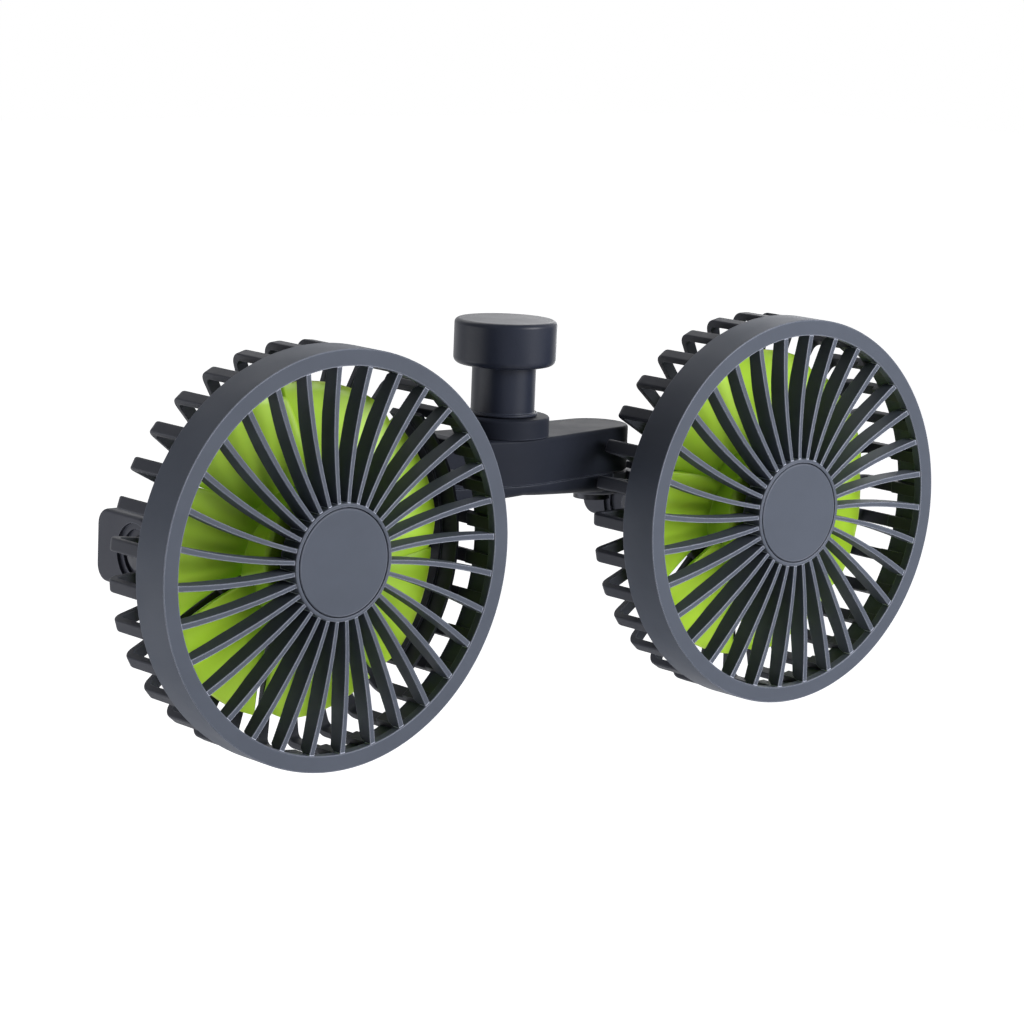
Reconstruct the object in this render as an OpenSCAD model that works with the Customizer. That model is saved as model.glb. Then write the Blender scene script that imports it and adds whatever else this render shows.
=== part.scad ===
// Dual head car fan: two caged axial fans hung from one swivelling arm.
// Origin at the centre of the foot's flat top face, X along the row of heads,
// the heads facing -Y, and Z up.

/* [Front grille] */
// Outer diameter of the ring round each head
ring_d = 115; // [100:1:140]
// Depth of the ring's outer wall
ring_depth = 13; // [11:0.5:18]
// Width of the ring's flat front face
ring_face_w = 4.7; // [3.5:0.1:7]
// Thickness of the ring's front face
ring_face_t = 3; // [2:0.1:3.2]
// Thickness of the ring's outer wall
ring_wall = 1.6; // [1.2:0.1:2.2]
// Radius on the ring's outer front edge
ring_edge_r = 1.2; // [0.4:0.1:1.4]
// Clear gap between the two rings
ring_gap = 54; // [52:1:80]
// Number of fins in each grille, and of ribs in each cage
fins = 32; // [20:1:40]
// Thickness of a fin at the hub
fin_root_t = 1.2; // [1:0.1:1.6]
// Thickness of a fin at the ring
fin_tip_t = 1.7; // [1.2:0.1:2]
// Depth of a fin where it meets the ring
fin_outer_depth = 5; // [3:0.1:6]
// Depth of a fin over its inner two thirds
fin_inner_depth = 6.2; // [5:0.1:6.4]
// Radius of the arc that a fin follows, seen from the front
fin_bow_r = 190; // [150:5:400]
// Diameter of the hub ring
hub_d = 32.2; // [26:0.2:36]
// Width of the hub ring's lip
hub_lip_w = 1.1; // [0.8:0.1:2]
// How far the hub stands in front of the ring's face
hub_proud = 1; // [0:0.1:2]
// Thickness of the hub disc
hub_disc_t = 2; // [1.2:0.1:2.6]

/* [Rear cage] */
// Depth of the cage behind the ring
cage_depth = 15.5; // [13:0.5:20]
// How far a rib's outer face lies inside the ring's outer face
rib_inset = 0.5; // [0:0.1:1.5]
// Radial and rearward thickness of a rib
rib_t = 4; // [3:0.1:5]
// Width of a rib at the ring
rib_outer_w = 4; // [3:0.1:5]
// Width of a rib at the motor plate
rib_inner_w = 2.7; // [2:0.1:3]
// Radius of a rib's rear corner
rib_corner_r = 4.5; // [2:0.1:6]
// Diameter of the plate that carries the motor
motor_plate_d = 48; // [44:1:54]
// Height of the tilt bracket across the back of the cage
bracket_h = 14; // [13:0.5:18]

/* [Impeller] */
// Gap between the blade tips and the ribs of the cage
tip_gap = 6.7; // [4:0.1:12]
// Number of blades
blades = 7; // [5:1:9]
// Angle that one blade covers, seen from the front
blade_span = 47; // [30:1:48]
// Depth of the impeller from blade front to blade rear
blade_depth = 12.4; // [8:0.2:13]
// Thickness of a blade
blade_t = 1.6; // [1:0.1:2]
// Outer diameter of the impeller's hub
impeller_hub_d = 39; // [34:0.5:42]
// Wall of the impeller's hub
impeller_hub_wall = 2.2; // [1.5:0.1:2.5]

/* [Motor] */
// Diameter of the motor can
motor_d = 26; // [20:0.5:30]
// Diameter of the motor shaft
shaft_d = 3; // [2:0.1:4]

/* [Yoke] */
// How far the inner cheek's outside lies in from the ring's outer face
cheek_in_inset = 20; // [18:0.5:22]
// How far the outer cheek's outside lies in from the ring's outer face
cheek_out_inset = 15; // [12:0.5:20]
// Thickness of a cheek
cheek_t = 4; // [3.5:0.1:5]
// Distance from the cage's back to the front of the yoke
yoke_clear = 1.5; // [1:0.1:2]
// Front to rear depth of the yoke
yoke_depth = 24; // [22:0.5:30]
// Thickness of the yoke's rear bar
yoke_bar_t = 6; // [5:0.5:7]
// Depth of the yoke below the heads' axes at the outer cheek
yoke_low_out = 9.9; // [8.5:0.1:12]
// Depth of the yoke below the heads' axes at the inner cheek
yoke_low_in = 5; // [4.6:0.1:9]
// Radius on the yoke's long edges
yoke_edge_r = 4.5; // [2:0.1:4.8]
// Distance from the cage's back to the tilt axis
tilt_behind = 7.5; // [7:0.1:9]
// Radius of the tilt bracket's lugs
tilt_lug_r = 6.5; // [5.5:0.1:7]
// Diameter of the tilt pins
tilt_pin_d = 5; // [4:0.1:6]
// Radius of the shallow step in a cheek's outside
cheek_step_r = 8.3; // [7.6:0.1:9]
// Radius of the deeper step in a cheek's outside
cheek_seat_r = 6.6; // [5.8:0.1:7.2]
// Depth of each step in a cheek's outside
cheek_step_t = 1; // [0.6:0.1:1.2]

/* [Arm] */
// Height of the arm's top above the heads' axes
arm_top_rise = 24; // [22:0.5:30]
// Height of the arm at its middle
arm_h = 16.5; // [14:0.5:20]
// Height of the lower cover at the arm's middle
arm_cover_h = 3.2; // [3:0.1:4]
// How far the lower cover droops towards its ends
arm_droop = 3; // [1:0.1:4]
// Radius of the lower cover's bottom edge
arm_edge_r = 2.6; // [1:0.1:2.9]
// Half depth of the arm at its middle
arm_mid_r = 13.2; // [12:0.1:15]
// Radius of the round boss at each end of the arm
boss_r = 10; // [9:0.1:11]
// How far a boss's axis lies outside the inner edge of its ring
boss_out = 13; // [12:0.5:14]
// Distance from the cage's back to the axis of a boss
boss_behind = 13.5; // [13:0.1:16]
// Diameter of the pin that each yoke pans on
pan_pin_d = 6; // [4:0.1:8]
// Gap between the arm's boss and the yoke under it
pan_gap = 0.6; // [0.5:0.1:1]

/* [Foot] */
// Distance from the cage's back to the foot's axis
foot_behind = 8.4; // [6:0.1:12]
// Diameter of the foot's cap
cap_d = 29.6; // [26:0.2:40]
// Height of the foot's cap
cap_h = 13.1; // [9:0.1:18]
// Radius on the cap's upper edge
cap_top_r = 1.4; // [0.5:0.1:3]
// Radius on the cap's lower edge
cap_low_r = 2; // [0.5:0.1:3]
// Diameter of the foot's neck
neck_d = 18.5; // [16:0.1:22]
// Length of neck between the cap and the collar
neck_h = 14.3; // [8:0.1:30]
// Diameter of the collar that the neck turns in
collar_d = 27.2; // [23:0.1:32]
// Height of the collar above the arm
collar_h = 5.7; // [4:0.1:9]
// Diameter of the neck's spigot inside the collar
spigot_d = 13; // [10:0.1:14]

/* [Cable inlet] */
// Diameter of the hole for the cable
cable_d = 4.4; // [3:0.1:5]
// Diameter of the grommet's flange
grommet_flange_d = 9; // [8:0.1:11]
// Distance of the inlet from the foot's axis
inlet_x = 17; // [15:0.5:20]

/* [Fits] */
// Radial clearance of a part that turns on another
run_fit = 0.05; // [0.02:0.01:0.08]
// Radial clearance of a part seated in another
seat_fit = 0.02; // [0.01:0.01:0.04]
// Gap between the faces of parts that move past each other
face_gap = 0.3; // [0.2:0.05:0.5]
// Gap between mating faces of shells
shell_gap = 0.05; // [0.02:0.01:0.1]

/* [Hidden] */

$fn = 72;
overrun = 1;
small_edge_r = 0.3;

// Slate of the rings, darker grey of the cages, navy grey of the arm, lime of the blades
slate = [0.38, 0.41, 0.45];
cage_grey = [0.30, 0.31, 0.34];
arm_grey = [0.20, 0.22, 0.27];
lime = [0.62, 0.82, 0.22];
steel = [0.70, 0.71, 0.73];
brass = [0.78, 0.66, 0.36];
rubber = [0.10, 0.10, 0.11];

// Places of the heads: local Y is measured back from the ring's face
ring_r = ring_d / 2;
head_x = ring_gap / 2 + ring_r;
back_y = ring_depth + cage_depth;
foot_y = back_y + foot_behind;
fin_pitch = 360 / fins;
fin_start_left = -4.6;
fin_start_right = 1.0;

// Front grille
open_r = ring_r - ring_face_w;
ring_in_r = ring_r - ring_wall;
hub_r = hub_d / 2;
hub_in_r = hub_r - hub_lip_w;
fin_root_r = hub_r - hub_lip_w / 2;
fin_end_r = open_r + ring_face_w / 8;
fin_taper = asin((fin_tip_t - fin_root_t) / 2 / (fin_end_r - fin_root_r));
fin_step_y = 0.4;
hub_step_y = 0.5;
hub_floor_t = 1.6;
hub_peg_r = 3;
hub_groove = 0.25;

// Rear cage
tongue_fit = 0.08;
tongue_out_r = ring_in_r - tongue_fit;
tongue_front_y = ring_face_t + face_gap;
rib_r = ring_r - rib_inset;
cage_in_r = rib_r - rib_t;
rib_in_corner_r = rib_corner_r / 2;
plate_front_y = back_y - rib_t;
plate_r = motor_plate_d / 2;
bracket_web_t = 2.2;
scoop_wall = 1.6;
guard_r = 51;
guard_t = 1.8;
guard_step = 0.8;
guard_front_y = 13.4;
guard_span = 90;

// Impeller and motor
fan_gap = 1.4;
hub_front_y = fin_inner_depth + fan_gap;
impeller_r = cage_in_r - tip_gap;
hub_cup_depth = 12.6;
hub_cup_r = impeller_hub_d / 2;
hub_bore_r = hub_cup_r - impeller_hub_wall;
hub_front_t = 1.8;
hub_round_r = 1.5;
hub_boss_r = 4.2;
blade_setback = 1.1;
blade_front_y = hub_front_y + blade_setback;
blade_rings = 6;
blade_steps = 8;
blade_sweep = 10;
blade_camber_share = 0.12;
blade_root_span_share = 0.82;
blade_root_depth_share = 0.86;
motor_r = motor_d / 2;
motor_gap = 0.8;
motor_front_y = hub_front_y + hub_front_t + motor_gap;
motor_edge_r = 1.5;
shaft_r = shaft_d / 2;
shaft_proud = 1;
shaft_tip_y = hub_front_y - shaft_proud;
bush_r = 3.5;
bush_len = 5;
bush_nose = 0.4;
can_bore_gap = 0.2;
can_bore_r = shaft_r + can_bore_gap;
can_bore_len = 10;
boss_gap = 0.2;
nut_r = 2.8;
nut_t = 1.5;
nut_seat = 1;
motor_screw_r = 1.25;
motor_screw_head_r = 2.4;
motor_screw_head_t = 1.4;
motor_screw_len = 8;
motor_screw_circle_r = 8;
motor_screw_count = 3;

// Yoke
tilt_y = back_y + tilt_behind;
yoke_front_y = back_y + yoke_clear;
yoke_rear_y = yoke_front_y + yoke_depth;
parting_z = arm_top_rise - arm_h + arm_cover_h;
yoke_top_z = parting_z - pan_gap;
cheek_in_x = ring_r - cheek_in_inset;
cheek_out_x = ring_r - cheek_out_inset;
slab_t = 0.2;
lug_t = 4;
lug_in_x = cheek_in_x - cheek_t - face_gap;
lug_out_x = cheek_out_x - cheek_t - face_gap;
cheek_corner_reach = norm([yoke_clear + yoke_edge_r - tilt_behind, yoke_low_out - yoke_edge_r]);
scoop_r = cheek_corner_reach + yoke_edge_r + face_gap;
tilt_pin_r = tilt_pin_d / 2;
tilt_head_r = 4.6;
tilt_head_t = 1.2;
tilt_pin_end = 0.5;
cover_mid_z = (yoke_top_z - (yoke_low_in + yoke_low_out) / 2) / 2;
yoke_cover_l = 56;
yoke_cover_h = 9;
yoke_cover_t = 1.6;
yoke_cover_corner = 2;
yoke_screw_inset = 5;
yoke_screw_spacing = yoke_cover_l - 2 * yoke_screw_inset;
yoke_screw_x = [head_x - yoke_screw_spacing / 2, head_x + yoke_screw_spacing / 2];
yoke_screw_r = 1.1;
yoke_screw_head_r = 2;
yoke_screw_head_t = 0.8;
yoke_screw_len = 4;
duct_h = 5;
duct_t = 2.6;
duct_l = 38;

// Arm
boss_x = ring_gap / 2 + boss_out;
boss_y = back_y + boss_behind;
arm_low_z = arm_top_rise - arm_h;
boss_disc_drop = 1;
boss_disc_low_z = arm_low_z - arm_droop - boss_disc_drop;
pan_pin_r = pan_pin_d / 2;
pan_head_r = 5.4;
pan_head_t = 1.6;
pan_pin_depth = 9.5;
pan_washer_r = 7;
pan_washer_t = 0.4;
wire_pocket_in_x = 9;
wire_pocket_out_x = 30;
wire_pocket_setback = 1.6;
wire_pocket_front_y = foot_y + wire_pocket_setback;
wire_pocket_w = 8;
arm_roof_t = 3.2;
wire_pocket_top_z = arm_top_rise - arm_roof_t;
cover_screw_x = 23;
cover_screw_ahead = 4;
cover_screw_behind = 12.2;
cover_screw_front_y = foot_y - cover_screw_ahead;
cover_screw_rear_y = foot_y + cover_screw_behind;
cover_screw_r = 1.25;
cover_screw_head_r = 2.3;
cover_screw_head_t = 1.3;
cover_screw_len = 9;
cover_relief = 0.4;

// Foot
cap_r = cap_d / 2;
neck_r = neck_d / 2;
collar_r = collar_d / 2;
spigot_r = spigot_d / 2;
collar_top_z = arm_top_rise + collar_h;
neck_low_z = collar_top_z + face_gap;
cap_low_z = neck_low_z + neck_h;
cap_top_z = cap_low_z + cap_h;
neck_foot_lip = 0.8;
neck_foot_r = neck_r + neck_foot_lip;
neck_foot_h = 0.8;
cap_wall = 2.6;
cap_socket_h = 8;
neck_tenon_r = 6.5;
bush_wall = 1.6;
bush_end = 0.8;
swivel_pocket_r = 9.4;
swivel_pocket_h = 4;
swivel_pocket_top_z = parting_z + swivel_pocket_h;
washer_r = 8.8;
washer_t = 1.2;
washer_low_z = swivel_pocket_top_z - face_gap / 2 - seat_fit - washer_t;
swivel_screw_r = 2.5;
swivel_head_r = 4.6;
swivel_head_t = 1.9;
swivel_screw_len = 14;

// Cable inlet
grommet_r = 3.6;
grommet_flange_t = 1.5;
grommet_depth = 6;
inlet_pad_r = 5.2;
inlet_pad_proud = 1;
inlet_pad_y = foot_y + arm_mid_r + inlet_pad_proud;
inlet_lift = 1;
inlet_z = (parting_z + wire_pocket_top_z) / 2 + inlet_lift;
cable_r = cable_d / 2;

// Everything is laid out from the heads' axes and the ring faces, then moved so
// that the origin is at the foot's top face
module from_foot() translate([0, -foot_y, -cap_top_z]) children();

// side is -1 for the left head and 1 for the right head
module at_head(side) from_foot() translate([side * head_x, 0, 0]) children();

// As at_head, with the left head a mirror image of the right
module handed_head(side) at_head(side) mirror([side < 0 ? 1 : 0, 0, 0]) children();

// As from_foot, with the left side a mirror image of the right
module handed(side) from_foot() mirror([side < 0 ? 1 : 0, 0, 0]) children();

// Turns a solid built along Z so that it runs back along Y
module along_y() rotate([-90, 0, 0]) children();

// Turns a solid built along Z so that it runs along X
module along_x() rotate([0, 90, 0]) children();

module cyl_y(r, y0, y1, x = 0, z = 0)
    translate([x, y0, z]) along_y() cylinder(r = r, h = y1 - y0);

module cyl_x(r, x0, x1, y = 0, z = 0)
    translate([x0, y, z]) along_x() cylinder(r = r, h = x1 - x0);

module cyl_z(r, z0, z1, x = 0, y = 0)
    translate([x, y, z0]) cylinder(r = r, h = z1 - z0);

// Box between two corners
module box(low, high) translate(low) cube(high - low);

// The same box on the right, or its mirror image on the left
module side_box(side, low, high) mirror([side < 0 ? 1 : 0, 0, 0]) box(low, high);

// A disc about Z with rounded edges
module round_disc(r, z0, z1, r_low, r_top)
    translate([0, 0, z0]) rotate_extrude() union() {
        translate([0, r_low]) square([r, z1 - z0 - r_low - r_top]);
        square([r - r_low, z1 - z0 - r_top]);
        translate([0, r_low]) square([r - r_top, z1 - z0 - r_low]);
        intersection() {
            translate([r - r_low, r_low]) circle(r_low);
            square([r, z1 - z0]);
        }
        intersection() {
            translate([r - r_top, z1 - z0 - r_top]) circle(r_top);
            square([r, z1 - z0]);
        }
    }

// Outer tangent of two circles, as its touching points, on the side that turn gives
function tangent(c1, r1, c2, r2, turn) =
    let (
        d = c2 - c1,
        a = atan2(d[1], d[0]) + turn * acos((r1 - r2) / norm(d))
    ) [c1 + r1 * [cos(a), sin(a)], c2 + r2 * [cos(a), sin(a)]];

// Ring with its rounded outer front edge
module ring_shell() along_y() rotate_extrude($fn = 144) difference() {
    union() {
        translate([open_r, 0]) square([ring_face_w - ring_edge_r, ring_face_t]);
        translate([open_r, ring_edge_r]) square([ring_face_w, ring_face_t - ring_edge_r]);
        translate([ring_in_r, ring_edge_r]) square([ring_wall, ring_depth - ring_edge_r]);
        translate([ring_r - ring_edge_r, ring_edge_r]) circle(ring_edge_r, $fn = 32);
    }
}

// Outline of a fin's depth, revolved; the fins are cut from it
module fin_space() along_y() rotate_extrude($fn = 144) polygon([
    [fin_root_r, -hub_proud + hub_step_y],
    [(fin_root_r + open_r) / 2, fin_step_y / 2],
    [open_r, fin_step_y],
    [fin_end_r, fin_step_y],
    [fin_end_r, ring_face_t - fin_step_y],
    [open_r, ring_face_t - fin_step_y],
    [open_r, fin_outer_depth],
    [open_r - open_r / 4, fin_inner_depth],
    [fin_root_r, fin_inner_depth]
]);

// One fin, bowed clockwise and thickened towards its outer end as seen from the front
module fin() intersection() {
    difference() {
        fin_side(-fin_taper, fin_root_t / 2);
        fin_side(fin_taper, -fin_root_t / 2);
    }
    box([0, -hub_proud, -ring_r / 2], [ring_r, ring_depth, fin_tip_t]);
}

// Cylinder that bounds a fin, turned about the fin's root
module fin_side(turn, offset) translate([fin_root_r, -hub_proud, 0]) rotate([0, turn, 0])
    translate([0, 0, -fin_bow_r]) along_y() cylinder(r = fin_bow_r + offset, h = ring_depth, $fn = 360);

// Hub ring with the floor that carries the disc
module hub_ring() {
    difference() {
        cyl_y(hub_r, -hub_proud, fin_inner_depth);
        cyl_y(hub_in_r, -hub_proud - overrun, fin_inner_depth + overrun);
    }
    difference() {
        cyl_y(fin_root_r, hub_disc_t - hub_proud + shell_gap, hub_disc_t - hub_proud + hub_floor_t);
        cyl_y(hub_peg_r + seat_fit, -hub_proud, ring_depth);
    }
}

module front_grille(side) color(slate) at_head(side) union() {
    ring_shell();
    hub_ring();
    intersection() {
        fin_space();
        union() {
            for (i = [0 : fins - 1])
                rotate([0, -i * fin_pitch - (side < 0 ? fin_start_left : fin_start_right), 0]) fin();
        }
    }
}

module hub_disc(side) color(slate) at_head(side) union() {
    cyl_y(hub_in_r - hub_groove, -hub_proud, hub_disc_t - hub_proud);
    cyl_y(hub_peg_r, 0, hub_disc_t - hub_proud + hub_floor_t + hub_step_y);
}

// Solid of revolution that the ribs are cut from: a wall that turns in at the back, with
// the tongues that reach into the ring
module cage_dish() along_y() rotate_extrude($fn = 144) difference() {
    union() {
        translate([0, ring_depth + shell_gap]) square([rib_r - rib_corner_r, cage_depth - shell_gap]);
        translate([0, ring_depth + shell_gap])
            square([rib_r, cage_depth - rib_corner_r - shell_gap]);
        translate([0, tongue_front_y]) square([tongue_out_r, cage_depth]);
        translate([rib_r - rib_corner_r, back_y - rib_corner_r]) circle(rib_corner_r, $fn = 48);
    }
    square([cage_in_r, plate_front_y - rib_in_corner_r]);
    square([cage_in_r - rib_in_corner_r, plate_front_y]);
    translate([cage_in_r - rib_in_corner_r, plate_front_y - rib_in_corner_r])
        circle(rib_in_corner_r, $fn = 48);
}

// One rib's outline from behind, tapering towards the motor plate
module rib_slice() along_y() linear_extrude(back_y + overrun)
    polygon([
        [plate_r - rib_t / 2, -rib_inner_w / 2],
        [ring_r, -rib_outer_w / 2],
        [ring_r, rib_outer_w / 2],
        [plate_r - rib_t / 2, rib_inner_w / 2]
    ]);

// Stepped wall inside the left cage, on the side of the arm
module cage_guard() intersection() {
    difference() {
        cyl_y(guard_r, guard_front_y, plate_front_y + shell_gap);
        cyl_y(guard_r - guard_t, guard_front_y - overrun, back_y);
        cyl_y(guard_r - guard_t + guard_step, guard_front_y - overrun, (guard_front_y + plate_front_y) / 2);
    }
    along_y() linear_extrude(back_y) polygon([
        [0, 0],
        [-ring_r, -ring_r * tan(guard_span / 2)],
        [-ring_r, ring_r * tan(guard_span / 2)]
    ]);
}

// Screw holes through the bracket and the motor plate, with seats for the heads
module motor_screw_holes()
    for (i = [0 : motor_screw_count - 1])
        rotate([0, i * 360 / motor_screw_count, 0]) translate([motor_screw_circle_r, 0, 0]) {
            cyl_y(motor_screw_r + seat_fit, plate_front_y - overrun, back_y + overrun);
            cyl_y(motor_screw_head_r + seat_fit, back_y - motor_screw_head_t, back_y + overrun);
        }

// Seat of the tilt bracket's web, larger than the web by a clearance
module bracket_web(clearance, rise)
    box([-lug_in_x - clearance, back_y - bracket_web_t, -bracket_h / 2 - clearance],
        [lug_out_x + clearance, back_y + rise, bracket_h / 2 + clearance]);

// Trough that keeps the outer ribs clear of the cheek when the head tilts
module cheek_scoop(radius, margin)
    cyl_x(radius, lug_out_x + seat_fit - margin, cheek_out_x + face_gap + margin, tilt_y);

module rear_cage(side) color(cage_grey) handed_head(side) difference() {
    union() {
        intersection() {
            cage_dish();
            union() {
                for (i = [0 : fins - 1]) rotate([0, (i + 0.5) * fin_pitch, 0]) rib_slice();
            }
        }
        if (side < 0) cage_guard();
        cyl_y(plate_r, plate_front_y, back_y);
        box([-lug_in_x, plate_front_y, -bracket_h / 2], [lug_out_x, back_y, bracket_h / 2]);
        intersection() {
            cheek_scoop(scoop_r + scoop_wall, scoop_wall);
            box([0, ring_depth, -bracket_h / 2], [ring_r, back_y, bracket_h / 2]);
        }
    }
    bracket_web(seat_fit, overrun);
    cheek_scoop(scoop_r, 0);
    motor_screw_holes();
}

module tilt_lug(x0, x1) union() {
    cyl_x(tilt_lug_r, x0, x1, tilt_y);
    box([x0, back_y - bracket_web_t + seat_fit, -tilt_lug_r], [x1, tilt_y, tilt_lug_r]);
}

// Bracket let into the back of the cage, with two lugs on the tilt axis
module tilt_bracket(side) color(cage_grey) handed_head(side) difference() {
    union() {
        translate([0, seat_fit, 0]) bracket_web(0, -seat_fit);
        tilt_lug(-lug_in_x, lug_t - lug_in_x);
        tilt_lug(lug_out_x - lug_t, lug_out_x);
    }
    cyl_x(tilt_pin_r + run_fit, -cheek_in_x, cheek_out_x, tilt_y);
    motor_screw_holes();
}

module motor_can(side) color(steel) at_head(side) difference() {
    translate([0, motor_front_y, 0]) along_y()
        round_disc(motor_r, 0, plate_front_y - motor_front_y, motor_edge_r, motor_edge_r / 3);
    cyl_y(bush_r + seat_fit, motor_front_y - overrun, motor_front_y + bush_len);
    cyl_y(can_bore_r, motor_front_y, motor_front_y + can_bore_len);
    for (i = [0 : motor_screw_count - 1])
        rotate([0, side * i * 360 / motor_screw_count + (side < 0 ? 180 : 0), 0])
            translate([motor_screw_circle_r, 0, 0])
                cyl_y(motor_screw_r + seat_fit, back_y - motor_screw_len, plate_front_y + overrun);
}

module motor_bush(side) color(brass) at_head(side) difference() {
    cyl_y(bush_r, motor_front_y - bush_nose, motor_front_y + bush_len - seat_fit);
    cyl_y(shaft_r + run_fit, motor_front_y - overrun, motor_front_y + bush_len + overrun);
}

module motor_screws(side) color(steel) handed_head(side)
    for (i = [0 : motor_screw_count - 1])
        rotate([0, i * 360 / motor_screw_count, 0]) translate([motor_screw_circle_r, 0, 0]) {
            cyl_y(motor_screw_r, back_y - motor_screw_len + seat_fit, back_y - motor_screw_head_t / 2);
            cyl_y(motor_screw_head_r, back_y - motor_screw_head_t + seat_fit, back_y);
        }

// A point on a blade: u runs from root to tip, v from front edge to rear edge
function blade_point(u, v, offset) =
    let (
        root_r = hub_cup_r - impeller_hub_wall / 2,
        r = root_r + u * (impeller_r - root_r),
        span = blade_span * (blade_root_span_share + (1 - blade_root_span_share) * u),
        a = -span * (v - 0.5) - blade_sweep * u,
        depth = blade_depth * (blade_root_depth_share + (1 - blade_root_depth_share) * u),
        camber = blade_depth * blade_camber_share * sin(180 * v),
        y = blade_front_y + (blade_depth - depth) / 2 + v * (depth - blade_t) + camber * (1 - v) + offset
    ) [r * cos(a), y, r * sin(a)];

// One blade: a front sheet and a rear sheet of points, closed round the edge
module blade() {
    n = blade_steps + 1;
    count = (blade_rings + 1) * n;
    points = [
        for (side = [0, 1])
            for (i = [0 : blade_rings])
                for (j = [0 : blade_steps])
                    blade_point(i / blade_rings, j / blade_steps, side * blade_t)
    ];
    faces = concat(
        [for (i = [0 : blade_rings - 1]) for (j = [0 : blade_steps - 1])
            [i * n + j, (i + 1) * n + j + 1, i * n + j + 1]],
        [for (i = [0 : blade_rings - 1]) for (j = [0 : blade_steps - 1])
            [i * n + j, (i + 1) * n + j, (i + 1) * n + j + 1]],
        [for (i = [0 : blade_rings - 1]) for (j = [0 : blade_steps - 1])
            [count + i * n + j, count + i * n + j + 1, count + (i + 1) * n + j + 1]],
        [for (i = [0 : blade_rings - 1]) for (j = [0 : blade_steps - 1])
            [count + i * n + j, count + (i + 1) * n + j + 1, count + (i + 1) * n + j]],
        [for (j = [0 : blade_steps - 1]) [j, count + j + 1, count + j]],
        [for (j = [0 : blade_steps - 1]) [j, j + 1, count + j + 1]],
        [for (j = [0 : blade_steps - 1])
            [blade_rings * n + j, count + blade_rings * n + j + 1, blade_rings * n + j + 1]],
        [for (j = [0 : blade_steps - 1])
            [blade_rings * n + j, count + blade_rings * n + j, count + blade_rings * n + j + 1]],
        [for (i = [0 : blade_rings - 1]) [i * n, count + (i + 1) * n, (i + 1) * n]],
        [for (i = [0 : blade_rings - 1]) [i * n, count + i * n, count + (i + 1) * n]],
        [for (i = [0 : blade_rings - 1])
            [i * n + n - 1, (i + 1) * n + n - 1, count + (i + 1) * n + n - 1]],
        [for (i = [0 : blade_rings - 1])
            [i * n + n - 1, count + (i + 1) * n + n - 1, count + i * n + n - 1]]
    );
    polyhedron(points, faces);
}

module impeller(side) color(lime) at_head(side) difference() {
    union() {
        difference() {
            translate([0, hub_front_y, 0]) along_y()
                round_disc(hub_cup_r, 0, hub_cup_depth, hub_round_r, hub_round_r / 3);
            cyl_y(hub_bore_r, hub_front_y + hub_front_t, hub_front_y + hub_cup_depth + overrun);
        }
        cyl_y(hub_boss_r, hub_front_y + hub_front_t / 2, motor_front_y - bush_nose - boss_gap);
        for (i = [0 : blades - 1]) rotate([0, i * 360 / blades, 0]) blade();
    }
    cyl_y(shaft_r + seat_fit, hub_front_y - overrun, motor_front_y);
    cyl_y(nut_r + face_gap, hub_front_y - overrun, hub_front_y + nut_seat);
}

module motor_shaft(side) color(steel) at_head(side)
    cyl_y(shaft_r, shaft_tip_y, motor_front_y + can_bore_len - face_gap);

module impeller_nut(side) color(brass) at_head(side) difference() {
    cyl_y(nut_r, hub_front_y + nut_seat - nut_t, hub_front_y + nut_seat);
    cyl_y(shaft_r + seat_fit, hub_front_y - nut_t, motor_front_y);
}

// Cross section of the yoke, with its lower edge at low_z, as a thin slab at x
module yoke_slab(x, low_z)
    translate([x, 0, 0]) hull()
        for (y = [yoke_front_y + yoke_edge_r, yoke_rear_y - yoke_edge_r])
            for (z = [low_z + yoke_edge_r, yoke_top_z - yoke_edge_r])
                cyl_x(yoke_edge_r, 0, slab_t, y, z, $fn = 32);

// U shaped yoke behind a head, hung from its round root under the arm's boss
module yoke(side) color(arm_grey) handed(side) difference() {
    union() {
        difference() {
            hull() {
                yoke_slab(head_x - cheek_in_x, -yoke_low_in);
                yoke_slab(head_x + cheek_out_x - slab_t, -yoke_low_out);
            }
            box([head_x - cheek_in_x + cheek_t, yoke_front_y - overrun, -yoke_depth],
                [head_x + cheek_out_x - cheek_t, yoke_rear_y - yoke_bar_t, yoke_depth]);
            cheek_steps(head_x + cheek_out_x, 1);
            cheek_steps(head_x - cheek_in_x, -1);
        }
        translate([boss_x, boss_y, 0])
            round_disc(boss_r, boss_disc_low_z, yoke_top_z, arm_edge_r, small_edge_r);
        box([boss_x, boss_y, boss_disc_low_z + arm_edge_r],
            [head_x - cheek_in_x + cheek_t, yoke_rear_y - yoke_edge_r, yoke_top_z]);
    }
    cyl_z(pan_pin_r + run_fit, boss_disc_low_z - overrun, yoke_top_z + overrun, boss_x, boss_y);
    cyl_x(tilt_pin_r + seat_fit, head_x - cheek_in_x - overrun, head_x + cheek_out_x + overrun,
        tilt_y);
    bar_block(yoke_cover_l / 2 + seat_fit, yoke_cover_h / 2, yoke_cover_t, overrun);
    bar_block(duct_l / 2, duct_h / 2, yoke_cover_t + duct_t, 0);
    for (x = yoke_screw_x)
        cyl_y(yoke_screw_r + seat_fit, yoke_rear_y - yoke_screw_len, yoke_rear_y, x, cover_mid_z);
}

// Block on the middle of the yoke's rear bar, from a depth below its face to a height over it
module bar_block(half_l, half_h, below, over)
    box([head_x - half_l, yoke_rear_y - below, cover_mid_z - half_h],
        [head_x + half_l, yoke_rear_y + over, cover_mid_z + half_h]);

// Two concentric steps let into a cheek's outside at x
module cheek_steps(x, out) {
    cyl_x(cheek_step_r, min(x - out * cheek_step_t, x + out * overrun),
        max(x - out * cheek_step_t, x + out * overrun), tilt_y);
    cyl_x(cheek_seat_r, min(x - out * cheek_step_t * 2, x + out * overrun),
        max(x - out * cheek_step_t * 2, x + out * overrun), tilt_y);
}

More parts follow.
